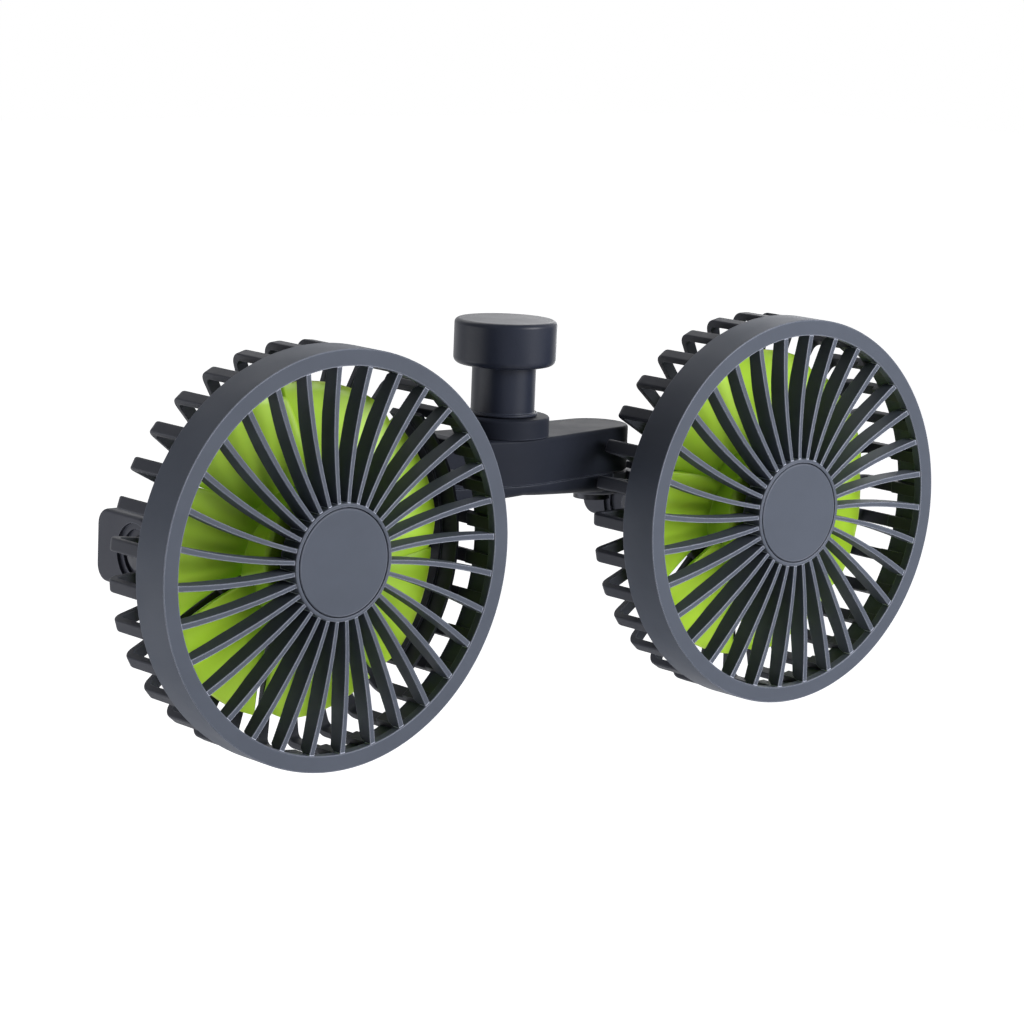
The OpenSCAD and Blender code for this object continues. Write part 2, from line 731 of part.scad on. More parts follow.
module yoke_cover(side) color(arm_grey) handed(side) difference() {
    bar_block(yoke_cover_l / 2, yoke_cover_h / 2 - seat_fit, yoke_cover_t - seat_fit, 0);
    for (x = yoke_screw_x) {
        cyl_y(yoke_screw_r + seat_fit, yoke_rear_y - yoke_screw_len, yoke_rear_y + overrun,
            x, cover_mid_z);
        cyl_y(yoke_screw_head_r + seat_fit, yoke_rear_y - yoke_screw_head_t, yoke_rear_y + overrun,
            x, cover_mid_z);
    }
}

module yoke_screws(side) color(steel) handed(side)
    for (x = yoke_screw_x) {
        cyl_y(yoke_screw_r, yoke_rear_y - yoke_screw_len + seat_fit, yoke_rear_y - yoke_screw_head_t / 2,
            x, cover_mid_z);
        cyl_y(yoke_screw_head_r, yoke_rear_y - yoke_screw_head_t + seat_fit, yoke_rear_y,
            x, cover_mid_z);
    }

// Outer pin with a head in the cheek's seat, and a plain inner pin
module tilt_pins(side) color(steel) handed(side) {
    outer_seat_x = head_x + cheek_out_x - cheek_step_t * 2;
    cyl_x(tilt_pin_r, head_x + lug_out_x - lug_t + tilt_pin_end,
        outer_seat_x + tilt_head_t / 2, tilt_y);
    cyl_x(tilt_head_r, outer_seat_x + seat_fit, outer_seat_x + tilt_head_t, tilt_y);
    cyl_x(tilt_pin_r, head_x - cheek_in_x + cheek_step_t * 2,
        head_x - lug_in_x + lug_t - tilt_pin_end, tilt_y);
}

// Plan of the arm: a round middle, two round ends and the straight flanks between
module arm_plan() union() {
    mid = [0, foot_y];
    translate(mid) circle(arm_mid_r);
    for (side = [-1, 1]) {
        end = [side * boss_x, boss_y];
        translate(end) circle(boss_r);
        front = tangent(mid, arm_mid_r, end, boss_r, -side);
        rear = tangent(mid, arm_mid_r, end, boss_r, side);
        polygon([mid, front[0], front[1], end, rear[1], rear[0]]);
    }
}

module arm_upper_shell() color(arm_grey) from_foot() difference() {
    union() {
        translate([0, 0, parting_z]) linear_extrude(arm_h - arm_cover_h) arm_plan();
        cyl_y(inlet_pad_r, foot_y + arm_mid_r / 2, inlet_pad_y, inlet_x, inlet_z);
    }
    cyl_z(spigot_r + run_fit + bush_wall + seat_fit, parting_z, arm_top_rise + overrun, 0, foot_y);
    cyl_z(swivel_pocket_r, parting_z - overrun, swivel_pocket_top_z, 0, foot_y);
    for (side = [-1, 1]) {
        side_box(side, [wire_pocket_in_x, wire_pocket_front_y, parting_z - overrun],
            [wire_pocket_out_x, wire_pocket_front_y + wire_pocket_w, wire_pocket_top_z]);
        cyl_z(pan_pin_r + seat_fit, parting_z - overrun, parting_z + pan_pin_depth,
            side * boss_x, boss_y);
        for (y = [cover_screw_front_y, cover_screw_rear_y])
            cyl_z(cover_screw_r + seat_fit, parting_z - overrun, arm_low_z + cover_screw_len,
                side * cover_screw_x, y);
    }
    cyl_y(grommet_r + seat_fit, foot_y, inlet_pad_y + overrun, inlet_x, inlet_z);
}

module cover_disc(r, low_z)
    round_disc(r, low_z, parting_z - shell_gap, arm_edge_r, small_edge_r / 2, $fn = 36);

// Shallow cover whose rounded underside droops towards the yokes
module arm_lower_cover() color(arm_grey) from_foot() difference() {
    union() {
        for (side = [-1, 1]) hull() {
            translate([0, foot_y, 0]) cover_disc(arm_mid_r, arm_low_z);
            translate([side * boss_x, boss_y, 0]) cover_disc(boss_r, arm_low_z - arm_droop);
        }
    }
    for (side = [-1, 1]) {
        cyl_z(boss_r + cover_relief, 0, arm_top_rise, side * boss_x, boss_y);
        side_box(side, [boss_x, 0, 0], [head_x, head_x, arm_top_rise]);
        for (y = [cover_screw_front_y, cover_screw_rear_y]) {
            cyl_z(cover_screw_r + seat_fit, 0, arm_top_rise, side * cover_screw_x, y);
            cyl_z(cover_screw_head_r + seat_fit, 0, arm_low_z + cover_screw_head_t,
                side * cover_screw_x, y);
        }
    }
}

module arm_cover_screws() color(steel) from_foot()
    for (side = [-1, 1]) for (y = [cover_screw_front_y, cover_screw_rear_y]) {
        cyl_z(cover_screw_r, arm_low_z + cover_screw_head_t / 2, arm_low_z + cover_screw_len - seat_fit,
            side * cover_screw_x, y);
        cyl_z(cover_screw_head_r, arm_low_z, arm_low_z + cover_screw_head_t - seat_fit,
            side * cover_screw_x, y);
    }

module cable_inlet() color(rubber) from_foot() difference() {
    union() {
        cyl_y(grommet_r, inlet_pad_y - grommet_depth, inlet_pad_y + grommet_flange_t / 2,
            inlet_x, inlet_z);
        cyl_y(grommet_flange_d / 2, inlet_pad_y + seat_fit, inlet_pad_y + grommet_flange_t,
            inlet_x, inlet_z);
    }
    cyl_y(cable_r, foot_y, inlet_pad_y + grommet_flange_t + overrun, inlet_x, inlet_z);
}

module pan_washers() color(brass) from_foot()
    for (side = [-1, 1]) translate([side * boss_x, boss_y, 0]) difference() {
        cyl_z(pan_washer_r, parting_z - pan_washer_t - shell_gap, parting_z - shell_gap);
        cyl_z(pan_pin_r + seat_fit, 0, arm_top_rise);
    }

// Headed pin through the yoke's root into the arm's boss
module pan_pin(side) color(steel) handed(side) translate([boss_x, boss_y, 0]) {
    cyl_z(pan_pin_r, boss_disc_low_z - face_gap - pan_head_t / 2, parting_z + pan_pin_depth - seat_fit);
    cyl_z(pan_head_r, boss_disc_low_z - face_gap - pan_head_t, boss_disc_low_z - face_gap);
}

module swivel_collar() color(arm_grey) from_foot() difference() {
    translate([0, foot_y, 0])
        round_disc(collar_r, arm_top_rise, collar_top_z, small_edge_r, 2 * small_edge_r);
    cyl_z(spigot_r + run_fit + bush_wall + seat_fit, arm_top_rise - overrun, collar_top_z + overrun,
        0, foot_y);
}

module swivel_bush() color(brass) from_foot() difference() {
    cyl_z(spigot_r + run_fit + bush_wall, swivel_pocket_top_z, collar_top_z - bush_end, 0, foot_y);
    cyl_z(spigot_r + run_fit, parting_z, collar_top_z, 0, foot_y);
}

module foot_cap() color(arm_grey) from_foot() difference() {
    translate([0, foot_y, 0]) round_disc(cap_r, cap_low_z, cap_top_z, cap_low_r, cap_top_r);
    cyl_z(neck_tenon_r + seat_fit, cap_low_z - overrun, cap_low_z + cap_socket_h, 0, foot_y);
}

module foot_neck() color(arm_grey) from_foot() difference() {
    union() {
        cyl_z(neck_r, neck_low_z, cap_low_z - shell_gap, 0, foot_y);
        translate([0, foot_y, 0])
            round_disc(neck_foot_r, neck_low_z, neck_low_z + neck_foot_h, small_edge_r, small_edge_r);
        cyl_z(neck_tenon_r, neck_low_z, cap_low_z + cap_socket_h - shell_gap, 0, foot_y);
        cyl_z(spigot_r, swivel_pocket_top_z - face_gap / 2, neck_low_z + overrun, 0, foot_y);
    }
    cyl_z(swivel_screw_r + seat_fit, parting_z, swivel_pocket_top_z + swivel_screw_len, 0, foot_y);
}

module swivel_washer() color(steel) from_foot() difference() {
    cyl_z(washer_r, washer_low_z, washer_low_z + washer_t, 0, foot_y);
    cyl_z(swivel_screw_r + seat_fit, parting_z, arm_top_rise, 0, foot_y);
}

module swivel_screw() color(steel) from_foot() union() {
    cyl_z(swivel_screw_r, washer_low_z - swivel_head_t / 2,
        swivel_pocket_top_z + swivel_screw_len - face_gap, 0, foot_y);
    cyl_z(swivel_head_r, washer_low_z - swivel_head_t, washer_low_z - seat_fit, 0, foot_y);
}

foot_cap();
foot_neck();
swivel_washer();
swivel_screw();
arm_upper_shell();
arm_lower_cover();
swivel_collar();
swivel_bush();
arm_cover_screws();
cable_inlet();
pan_washers();
pan_pin(-1);  // pan_pin_left
pan_pin(1);  // pan_pin_right
yoke(-1);  // yoke_left
yoke_cover(-1);  // yoke_cover_left
yoke_screws(-1);  // yoke_screws_left
tilt_pins(-1);  // tilt_pins_left
yoke(1);  // yoke_right
yoke_cover(1);  // yoke_cover_right
yoke_screws(1);  // yoke_screws_right
tilt_pins(1);  // tilt_pins_right
front_grille(-1);  // front_grille_left
hub_disc(-1);  // hub_disc_left
rear_cage(-1);  // rear_cage_left
tilt_bracket(-1);  // tilt_bracket_left
motor_can(-1);  // motor_can_left
motor_bush(-1);  // motor_bush_left
motor_screws(-1);  // motor_screws_left
front_grille(1);  // front_grille_right
hub_disc(1);  // hub_disc_right
rear_cage(1);  // rear_cage_right
tilt_bracket(1);  // tilt_bracket_right
motor_can(1);  // motor_can_right
motor_bush(1);  // motor_bush_right
motor_screws(1);  // motor_screws_right
impeller(-1);  // impeller_left
motor_shaft(-1);  // motor_shaft_left
impeller_nut(-1);  // impeller_nut_left
impeller(1);  // impeller_right
motor_shaft(1);  // motor_shaft_right
impeller_nut(1);  // impeller_nut_right
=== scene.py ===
import math

import bmesh
import bpy
import numpy as np
from mathutils import Matrix, Vector

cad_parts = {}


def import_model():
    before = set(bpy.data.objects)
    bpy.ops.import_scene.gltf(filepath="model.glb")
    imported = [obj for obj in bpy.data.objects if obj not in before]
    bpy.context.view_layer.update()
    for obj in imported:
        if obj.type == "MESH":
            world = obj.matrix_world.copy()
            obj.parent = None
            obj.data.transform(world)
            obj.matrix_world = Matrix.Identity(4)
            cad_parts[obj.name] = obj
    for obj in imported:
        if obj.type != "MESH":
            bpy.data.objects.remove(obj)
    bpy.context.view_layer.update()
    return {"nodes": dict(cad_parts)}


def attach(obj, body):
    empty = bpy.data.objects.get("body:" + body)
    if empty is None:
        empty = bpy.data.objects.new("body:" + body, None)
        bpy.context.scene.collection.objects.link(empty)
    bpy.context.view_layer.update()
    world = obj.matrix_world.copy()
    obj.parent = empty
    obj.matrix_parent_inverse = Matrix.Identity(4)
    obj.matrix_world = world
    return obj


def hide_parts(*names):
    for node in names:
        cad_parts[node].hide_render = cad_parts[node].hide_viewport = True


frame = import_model()

# Lengths are in millimetres from the heads' axes (Z), the ring faces (Y) and the
# foot's axis (X), as in the part's source. row() turns them into the frame's metres.
MM = 0.001
ORIGIN = (0.0, 36.9, 57.4)
HEAD_X = 84.5
SIDES = {"left": -1, "right": 1}

# How far cutters run past a face
PAST, FAR_PAST = 2, 3

# Front grille sizes
RING_R, RING_DEPTH, RING_IN_R, OPEN_R, FACE_T = 57.5, 13.0, 55.9, 52.8, 3.0
FINS, PITCH = 32, 360 / 32
FIN_START = {"left": -4.6, "right": 1.0}
FIN_BOW_R, FIN_ROOT_R, FIN_END_R = 190.0, 15.55, 53.39
FIN_ROOT_T, FIN_TIP_T, FIN_EDGE_R, FIN_REAR_EDGE_R = 1.2, 1.7, 0.22, 0.3
FIN_INNER_DEPTH, FIN_OUTER_DEPTH, FIN_END_DEPTH = 6.2, 5.0, 2.6
FIN_FRONT, FIN_STEPS, FIN_OVERRUN = (-0.5, 0.2, 0.4), 22, 1.006
HUB_R, HUB_IN_R, HUB_PROUD, HUB_DEPTH, HUB_GROOVE = 16.1, 15.0, 1.0, 6.2, 0.25
HUB_FLOOR_FRONT, HUB_FLOOR_REAR, PEG_BORE_R = 1.05, 2.6, 3.02
DISC_REAR, PEG_R, PEG_END = 1.0, 3.0, 3.1

# Rear cage sizes
BACK_Y, PLATE_R, PLATE_T, WEB_T, SEAT_FIT = 28.5, 24.0, 4.0, 2.2, 0.02
RIB_R, RIB_T, RIB_CORNER_R, TONGUE_IN_R = 57.0, 2.2, 3.6, 53.8
RIB_PHASE_SHARE = {"left": 0.5, "right": 0.15}
RIB_OUTER_W, RIB_INNER_W, RIB_EDGES = 3.7, 2.7, [0.6, 0.6, 0.35, 0.35]
RIB_SIDE_YS, RIB_BACK_RS = (RING_DEPTH + 0.05, 16.0, 19.0), (44.0, 36.0, 28.0, PLATE_R - RIB_T / 2)
TONGUE_FIT, TONGUE_OVERLAP = 0.08, 0.6
CAGE_IN_R, RIB_Y = RIB_R - RIB_T, BACK_Y - RIB_T
PLATE_Y, SLOT_Y = BACK_Y - PLATE_T, BACK_Y - WEB_T
GUARD_R, GUARD_STEP_R, GUARD_IN_R, GUARD_FRONT_Y, GUARD_SPAN = 51.0, 50.0, 49.2, 13.4, 90
GUARD_OVERLAP, BAR_SINK = 0.05, 2
MOTOR_SCREWS, MOTOR_SCREW_CIRCLE_R, MOTOR_SCREW_HOLE_R = 3, 8.0, 1.27
MOTOR_SCREW_SEAT_R, MOTOR_SCREW_SEAT_T = 2.42, 1.4

# Tilt joint sizes
TILT_Y, TILT_LUG_R, TILT_BORE_R, LUG_T, BRACKET_H = 36.0, 6.5, 2.55, 4.0, 14.0
CHEEK_IN_X, CHEEK_OUT_X, CHEEK_T, FACE_GAP = 37.5, 42.5, 4.0, 0.3
LUG_IN_X, LUG_OUT_X = CHEEK_IN_X - CHEEK_T - FACE_GAP, CHEEK_OUT_X - CHEEK_T - FACE_GAP
SCOOP_R, SCOOP_WALL = 10.4, 1.6

# Impeller sizes
BLADES, BLADE_T, BLADE_SWEEP = 7, 1.6, 8.0
TIP_SPAN, ROOT_SPAN = 51.4, 53.46
TIP_DEPTH, ROOT_DEPTH, BLADE_REAR_Y = 4.4, 8.4, 21.1
HUB_CUP_R, IMPELLER_R, CORNER_CUT, CORNER_SHARE = 19.5, 46.3, 3.2, 0.3
BLADE_ROOT_R, BLADE_STATIONS, BLADE_CHORD = HUB_CUP_R - 1.1, 20, 26
TIP_THIN, CAMBER_SHARE = 0.55, 0.1
CUP_FRONT, CUP_REAR, CUP_BORE_R, CUP_FLOOR = 7.6, 20.2, 17.3, 9.4
NUT_SEAT_R, NUT_SEAT_Y, CUP_BOSS_R, CUP_BOSS_REAR, SHAFT_BORE_R = 3.1, 8.6, 4.2, 9.6, 1.52
WHEEL_TURN = {"left": 14.3, "right": 25.9}

# Yoke sizes
YOKE_Y0, YOKE_Y1, YOKE_TOP, YOKE_BAR_T = 30.0, 54.0, 10.1, 6.0
YOKE_EDGE_R, YOKE_END_EDGE, YOKE_SOFT_EDGE = 4.5, 0.9, 0.28
YOKE_LOW_IN, YOKE_LOW_OUT = -5.0, -9.9
YOKE_BORE_R, END_STEPS, MOUTH_REACH = 2.52, ((8.3, 1.0), (6.6, 2.0)), 24
COVER_L, COVER_H, COVER_T, COVER_SCREW_X = 56.0, 9.0, 1.6, 23
COVER_HOLE_R, COVER_SEAT_R, COVER_SEAT_T = 1.12, 2.02, 0.8
COVER_Z = (YOKE_TOP + (YOKE_LOW_IN + YOKE_LOW_OUT) / 2) / 2
BOSS_X, BOSS_Y, BOSS_R, BOSS_LOW, BOSS_EDGE_R = 40.0, 42.0, 10.0, 3.5, 2.6
PAN_BORE_R, PAN_CUT = 3.05, (0, 14)

# Arm and foot sizes
FOOT_Y, ARM_R, ARM_BOW_R, ARM_TOP, ARM_LOW = 36.9, 13.2, 45.0, 24.0, 7.5
PARTING_Z, ARM_SIDE_Z, ARM_DROOP, ARM_EDGE_R = 10.7, 16.0, 3.0, 0.9
LID_EDGE_R, LID_SIDE_MIN, LID_RINGS = 2.6, 0.41, (0.5, 0.25)
# Groove along the parting line, as distances from its plane and how far the wall is drawn in
GROOVE_ABOVE, GROOVE_BELOW = ((0, 0.25), (0.1, 0.08), (0.3, 0.0)), ((0.05, 0.3), (0.15, 0.1), (0.4, 0.0))
# Start and end of the arm's cutters along their axes
ARM_CUT, INLET_CUT, LID_CUT, LID_END_CUT = (5, 30), (38, 54), (0, 30), 90
POST, POST_BORE_R, POCKET_R, POCKET_TOP = (0, FOOT_Y, 0), 8.17, 9.4, 14.7
INLET, INLET_BORE_R, PAD_R, PAD_FRONT, PAD_REAR = (17, 0, 16.75), 3.62, 5.2, 43, 51.1
GROMMET_BORE_R, GROMMET_R, GROMMET_FLANGE_R = 2.2, 3.6, 4.5
GROMMET_FRONT, GROMMET_SEAT, GROMMET_REAR = 45.1, 51.12, 52.6
LID_RELIEF_R, LID_SCREW_X, LID_SCREW_Y = 10.4, 23, (FOOT_Y - 4, FOOT_Y + 12.2)
LID_HOLE_R, LID_SEAT_R, LID_SEAT_T = 1.27, 2.32, 1.3
COLLAR_R, COLLAR_TOP = 13.6, 29.7
CAP_R, CAP_LOW, CAP_TOP, CAP_LOW_EDGE_R, CAP_TOP_EDGE_R = 14.8, 44.3, 57.4, 2.0, 1.4
NECK_R, NECK_TOP, NECK_FLANGE_R, NECK_LOW, NECK_FLANGE_TOP = 9.25, 44.25, 10.05, 30.0, 30.8


def row(point):
    return tuple((c - o) * MM for c, o in zip(point, ORIGIN))


# Outlines

def fillet(points, radii, steps):
    """A closed outline with each corner rounded by its radius."""
    out = []
    n = len(points)
    for i, radius in enumerate(radii):
        p = np.array(points[i], float)
        a = np.array(points[i - 1], float) - p
        b = np.array(points[(i + 1) % n], float) - p
        la, lb = np.linalg.norm(a), np.linalg.norm(b)
        a, b = a / la, b / lb
        half = math.acos(max(-1, min(1, float(a @ b)))) / 2
        if radius <= 0 or half > math.radians(89):
            out.append(tuple(p))
            continue
        reach = min(radius / math.tan(half), la * 0.49, lb * 0.49)
        r = reach * math.tan(half)
        centre = p + (a + b) / np.linalg.norm(a + b) * (r / math.sin(half))
        start, end = p + a * reach - centre, p + b * reach - centre
        turn = math.atan2(start[0] * end[1] - start[1] * end[0], float(start @ end))
        for k in range(steps + 1):
            t = turn * k / steps
            c, s = math.cos(t), math.sin(t)
            out.append((centre[0] + c * start[0] - s * start[1],
                        centre[1] + s * start[0] + c * start[1]))
    return out


def rounded_rect(x0, y0, x1, y1, radius, steps=4):
    radii = radius if isinstance(radius, (list, tuple)) else [radius] * 4
    return fillet([(x0, y0), (x1, y0), (x1, y1), (x0, y1)], radii, steps)


# Solids

class Form:
    """Closed shells gathered into one mesh."""

    def __init__(self):
        self.verts, self.faces = [], []

    def skin(self, loops):
        """Quads between loops of the same number of points, and a cap at each end."""
        base, n = len(self.verts), len(loops[0])
        for loop in loops:
            self.verts += [tuple(map(float, p)) for p in loop]
        for i in range(len(loops) - 1):
            a, b = base + i * n, base + (i + 1) * n
            self.faces += [(a + j, a + (j + 1) % n, b + (j + 1) % n, b + j) for j in range(n)]
        self.faces.append(tuple(base + j for j in range(n))[::-1])
        self.faces.append(tuple(base + (len(loops) - 1) * n + j for j in range(n)))
        return self

    def lathe(self, profile, centre=(0, 0, 0), axis="y", n=96, closed=True):
        """Turns a profile of (radius, height). An open profile starts and ends on the axis."""
        rings = []
        for r, t in profile:
            if r < 1e-6:
                self.verts.append(turned(0, 0, t, centre, axis))
                rings.append([len(self.verts) - 1])
                continue
            start = len(self.verts)
            for k in range(n):
                a = 2 * math.pi * k / n
                self.verts.append(turned(r * math.cos(a), r * math.sin(a), t, centre, axis))
            rings.append(list(range(start, start + n)))
        for a, b in zip(rings, rings[1:] + (rings[:1] if closed else [])):
            for k in range(n):
                k2 = (k + 1) % n
                if len(a) == 1:
                    self.faces.append((a[0], b[k], b[k2]))
                elif len(b) == 1:
                    self.faces.append((a[k], b[0], a[k2]))
                else:
                    self.faces.append((a[k], b[k], b[k2], a[k2]))
        return self

    def block(self, low, high, radius, steps=3):
        """A box with every edge rounded."""
        (x0, y0, z0), (x1, y1, z1) = low, high
        radius = min(radius, (x1 - x0) / 2.01, (y1 - y0) / 2.01, (z1 - z0) / 2.01)
        turns = [math.pi / 2 * k / steps for k in range(steps + 1)]
        stations = [(x0 + radius * (1 - math.cos(a)), radius * (1 - math.sin(a))) for a in turns]
        stations += [(x1 - (x - x0), inset) for x, inset in stations[::-1]]
        return self.skin([
            [(x, y, z) for y, z in rounded_rect(
                y0 + i, z0 + i, y1 - i, z1 - i, max(radius - i, radius * 0.02))]
            for x, i in stations
        ])


def spindle(points, radii, steps, centre=(0, 0, 0), axis="y", n=96):
    """A solid turned from a rounded outline that starts and ends on the axis."""
    outline = [points[0]] + fillet(points, radii, steps)[1:-1] + [points[-1]]
    return Form().lathe(outline, centre, axis, n=n, closed=False)


def stepped_rod(parts, centre=(0, 0, 0), axis="y", n=48):
    """A cutter made of cylinders in a row, each with its radius, start and end."""
    outline = [(r, t) for r, start, end in parts for t in (start, end)]
    outline = [(0, outline[0][1])] + outline + [(0, outline[-1][1])]
    return Form().lathe(outline, centre, axis, n=n, closed=False)


def rod(radius, start, end, centre=(0, 0, 0), axis="y", n=48):
    return stepped_rod([(radius, start, end)], centre, axis, n)


def turned(u, v, t, centre, axis):
    x, y, z = centre
    if axis == "y":
        return (x + u, y + t, z + v)
    if axis == "z":
        return (x + u, y + v, z + t)
    return (x + t, y + u, z + v)


def mesh_object(name, form, side=0, mirror=False, sharp=38.0):
    """The form as an object in the frame. Side puts it on a head, mirror flips it on the left one."""
    flip = -1 if mirror and side < 0 else 1
    verts = [row((x * flip + side * HEAD_X, y, z)) for x, y, z in form.verts]
    mesh = bpy.data.meshes.new(name)
    mesh.from_pydata(verts, [], form.faces)
    bm = bmesh.new()
    bm.from_mesh(mesh)
    bmesh.ops.remove_doubles(bm, verts=bm.verts, dist=1e-7)
    bmesh.ops.recalc_face_normals(bm, faces=bm.faces)
    bm.to_mesh(mesh)
    bm.free()
    mesh.polygons.foreach_set("use_smooth", [True] * len(mesh.polygons))
    mesh.set_sharp_from_angle(angle=math.radians(sharp))
    obj = bpy.data.objects.new(name, mesh)
    bpy.context.scene.collection.objects.link(obj)
    return obj


def mirrored(name, form, side):
    """A piece that is drawn for the right head and mirrored for the left one."""
    return mesh_object(name, form, side, mirror=True)


def weighted(obj):
    mod = obj.modifiers.new("normals", "WEIGHTED_NORMAL")
    mod.keep_sharp = True
    return obj


def sharpen(obj, degrees=38):
    """Edges that turn by more than this many degrees look sharp, all others smooth."""
    obj.data.set_sharp_from_angle(angle=math.radians(degrees))


def cut(obj, cutters, operation="DIFFERENCE"):
    """Boolean with each cutter, applied to the mesh."""
    for c in cutters:
        mod = obj.modifiers.new("cut", "BOOLEAN")
        mod.operation, mod.object, mod.solver = operation, c, "EXACT"
    settle(obj)
    discard(cutters)


def discard(objects):
    for obj in objects:
        mesh = obj.data
        bpy.data.objects.remove(obj)
        bpy.data.meshes.remove(mesh)


def settle(obj):
    """Applies the object's modifiers."""
    dg = bpy.context.evaluated_depsgraph_get()
    done = bpy.data.meshes.new_from_object(obj.evaluated_get(dg))
    obj.modifiers.clear()
    old = obj.data
    obj.data = done
    name = old.name
    bpy.data.meshes.remove(old)
    done.name = name


def soften(obj, width, segments=2, angle=35):
    mod = obj.modifiers.new("edges", "BEVEL")
    mod.width, mod.segments = width * MM, segments
    mod.limit_method, mod.angle_limit = "ANGLE", math.radians(angle)
    mod.harden_normals = False
    settle(obj)
    obj.data.polygons.foreach_set("use_smooth", [True] * len(obj.data.polygons))
    sharpen(obj, 30)


# Materials

def srgb(*values):
    """Colour as it is written, 0 to 255, in Blender's linear numbers."""
    out = []
    for v in values:
        v /= 255
        out.append(v / 12.92 if v <= 0.04045 else ((v + 0.055) / 1.055) ** 2.4)
    return (*out, 1.0)


class Nodes:
    """A material's nodes, with short ways to add to them."""

    def __init__(self, name):
        self.mat = bpy.data.materials.new(name)
        self.mat.use_nodes = True
        self.tree = self.mat.node_tree
        self.shader = self.tree.nodes["Principled BSDF"]
        coords = self.add("ShaderNodeTexCoord")
        self.place = coords.outputs["Object"]

    def add(self, kind, **settings):
        node = self.tree.nodes.new(kind)
        for key, value in settings.items():
            if key in node.inputs:
                node.inputs[key].default_value = value
            else:
                setattr(node, key, value)
        return node

    def link(self, a, b):
        self.tree.links.new(a, b)

    def noise(self, scale, detail=2.0, rough=0.5, stretch=None):
        node = self.add("ShaderNodeTexNoise", Scale=scale, Detail=detail, Roughness=rough)
        source = self.place
        if stretch:
            mapping = self.add("ShaderNodeMapping")
            mapping.inputs["Scale"].default_value = stretch
            self.link(source, mapping.inputs["Vector"])
            source = mapping.outputs["Vector"]
        self.link(source, node.inputs["Vector"])
        return node.outputs["Fac"]

    def ramp(self, fac, low, high, start=0.3, end=0.7):
        node = self.add("ShaderNodeMapRange")
        for key, value in (("From Min", start), ("From Max", end), ("To Min", low), ("To Max", high)):
            node.inputs[key].default_value = value
        self.link(fac, node.inputs["Value"])
        return node.outputs["Result"]

    def mix(self, fac, a, b):
        node = self.add("ShaderNodeMix", data_type="RGBA")
        self.link(fac, node.inputs["Factor"])
        for value, key in ((a, "A"), (b, "B")):
            socket = next(s for s in node.inputs if s.name == key and s.type == "RGBA")
            if isinstance(value, tuple):
                socket.default_value = value
            else:
                self.link(value, socket)
        return next(s for s in node.outputs if s.type == "RGBA")

    def bump(self, height, distance, strength, below=None):
        node = self.add("ShaderNodeBump", Distance=distance, Strength=strength)
        self.link(height, node.inputs["Height"])
        if below:
            self.link(below, node.inputs["Normal"])
        return node.outputs["Normal"]

    def edge(self, radius):
        """1 on a convex or concave edge narrower than the radius, 0 on a flat."""
        bevel = self.add("ShaderNodeBevel", samples=4, Radius=radius)
        geometry = self.add("ShaderNodeNewGeometry")
        dot = self.add("ShaderNodeVectorMath", operation="DOT_PRODUCT")
        self.link(bevel.outputs["Normal"], dot.inputs[0])
        self.link(geometry.outputs["Normal"], dot.inputs[1])
        return self.ramp(dot.outputs["Value"], 1.0, 0.0, 0.86, 0.995)

    def painted_edge_highlight(self, base, highlight_colour, radius, share):
        """The base colour with a share of a lighter colour along the edges, a painted highlight."""
        edge = self.edge(radius)
        amount = self.add("ShaderNodeMath", operation="MULTIPLY")
        self.link(edge, amount.inputs[0])
        amount.inputs[1].default_value = share
        return self.mix(amount.outputs["Value"], base, highlight_colour)

    def set(self, **values):
        """Numbers that hold all over a surface, set on the shader's sockets."""
        for key, value in values.items():
            self.shader.inputs[key.replace("_", " ")].default_value = value


PLASTIC_IOR = 1.49


def shade(colour, factor):
    return tuple(min(1.0, c * factor) for c in colour[:3]) + (1.0,)


def moulded_plastic(name, colour, highlight_colour, rough, shine, highlight_share):
    """Satin moulded plastic: spark-eroded grain, faint flow marks, and a painted highlight along the
    edges.
    """
    m = Nodes(name)
    colour, highlight_colour = srgb(*colour), srgb(*highlight_colour)
    dark, light = shade(colour, 0.93), shade(colour, 1.07)
    flow = m.noise(28.0, 3.0, 0.55, stretch=(1.0, 1.0, 2.2))
    mottle = m.noise(420.0, 2.0)
    base = m.mix(m.ramp(flow, 0.0, 1.0), dark, light)
    base = m.mix(m.ramp(mottle, 0.0, 0.25), base, light)
    # Painted highlight: edges and corners get a share of a lighter colour.
    m.link(m.painted_edge_highlight(base, highlight_colour, 0.0004, highlight_share), m.shader.inputs["Base Color"])
    m.link(m.ramp(m.noise(60.0, 4.0, 0.6), *rough), m.shader.inputs["Roughness"])
    fine = m.noise(3600.0, 2.0, 0.6)
    coarse = m.noise(900.0, 2.0, 0.5)
    normal = m.bump(fine, 0.00003, 0.5)
    normal = m.bump(coarse, 0.00004, 0.175, below=normal)
    m.link(normal, m.shader.inputs["Normal"])
    m.set(IOR=PLASTIC_IOR, Specular_IOR_Level=shine)
    return m.mat


def blade_plastic(name):
    """Lime plastic that lets a little light through its thin blades."""
    m = Nodes(name)
    flow = m.noise(34.0, 3.0, 0.55)
    base = m.mix(m.ramp(flow, 0.0, 1.0), srgb(172, 216, 50), srgb(188, 228, 72))
    # Painted highlight: blade edges get a share of a paler lime.
    m.link(m.painted_edge_highlight(base, srgb(214, 242, 124), 0.0005, 0.55), m.shader.inputs["Base Color"])
    m.link(m.ramp(m.noise(70.0, 3.0), 0.30, 0.42), m.shader.inputs["Roughness"])
    m.link(m.bump(m.noise(2600.0, 2.0), 0.00002, 0.4), m.shader.inputs["Normal"])
    m.set(IOR=PLASTIC_IOR, Specular_IOR_Level=0.3, Subsurface_Weight=0.18,
          Subsurface_Radius=(0.6, 1.0, 0.15), Subsurface_Scale=0.0015)
    return m.mat


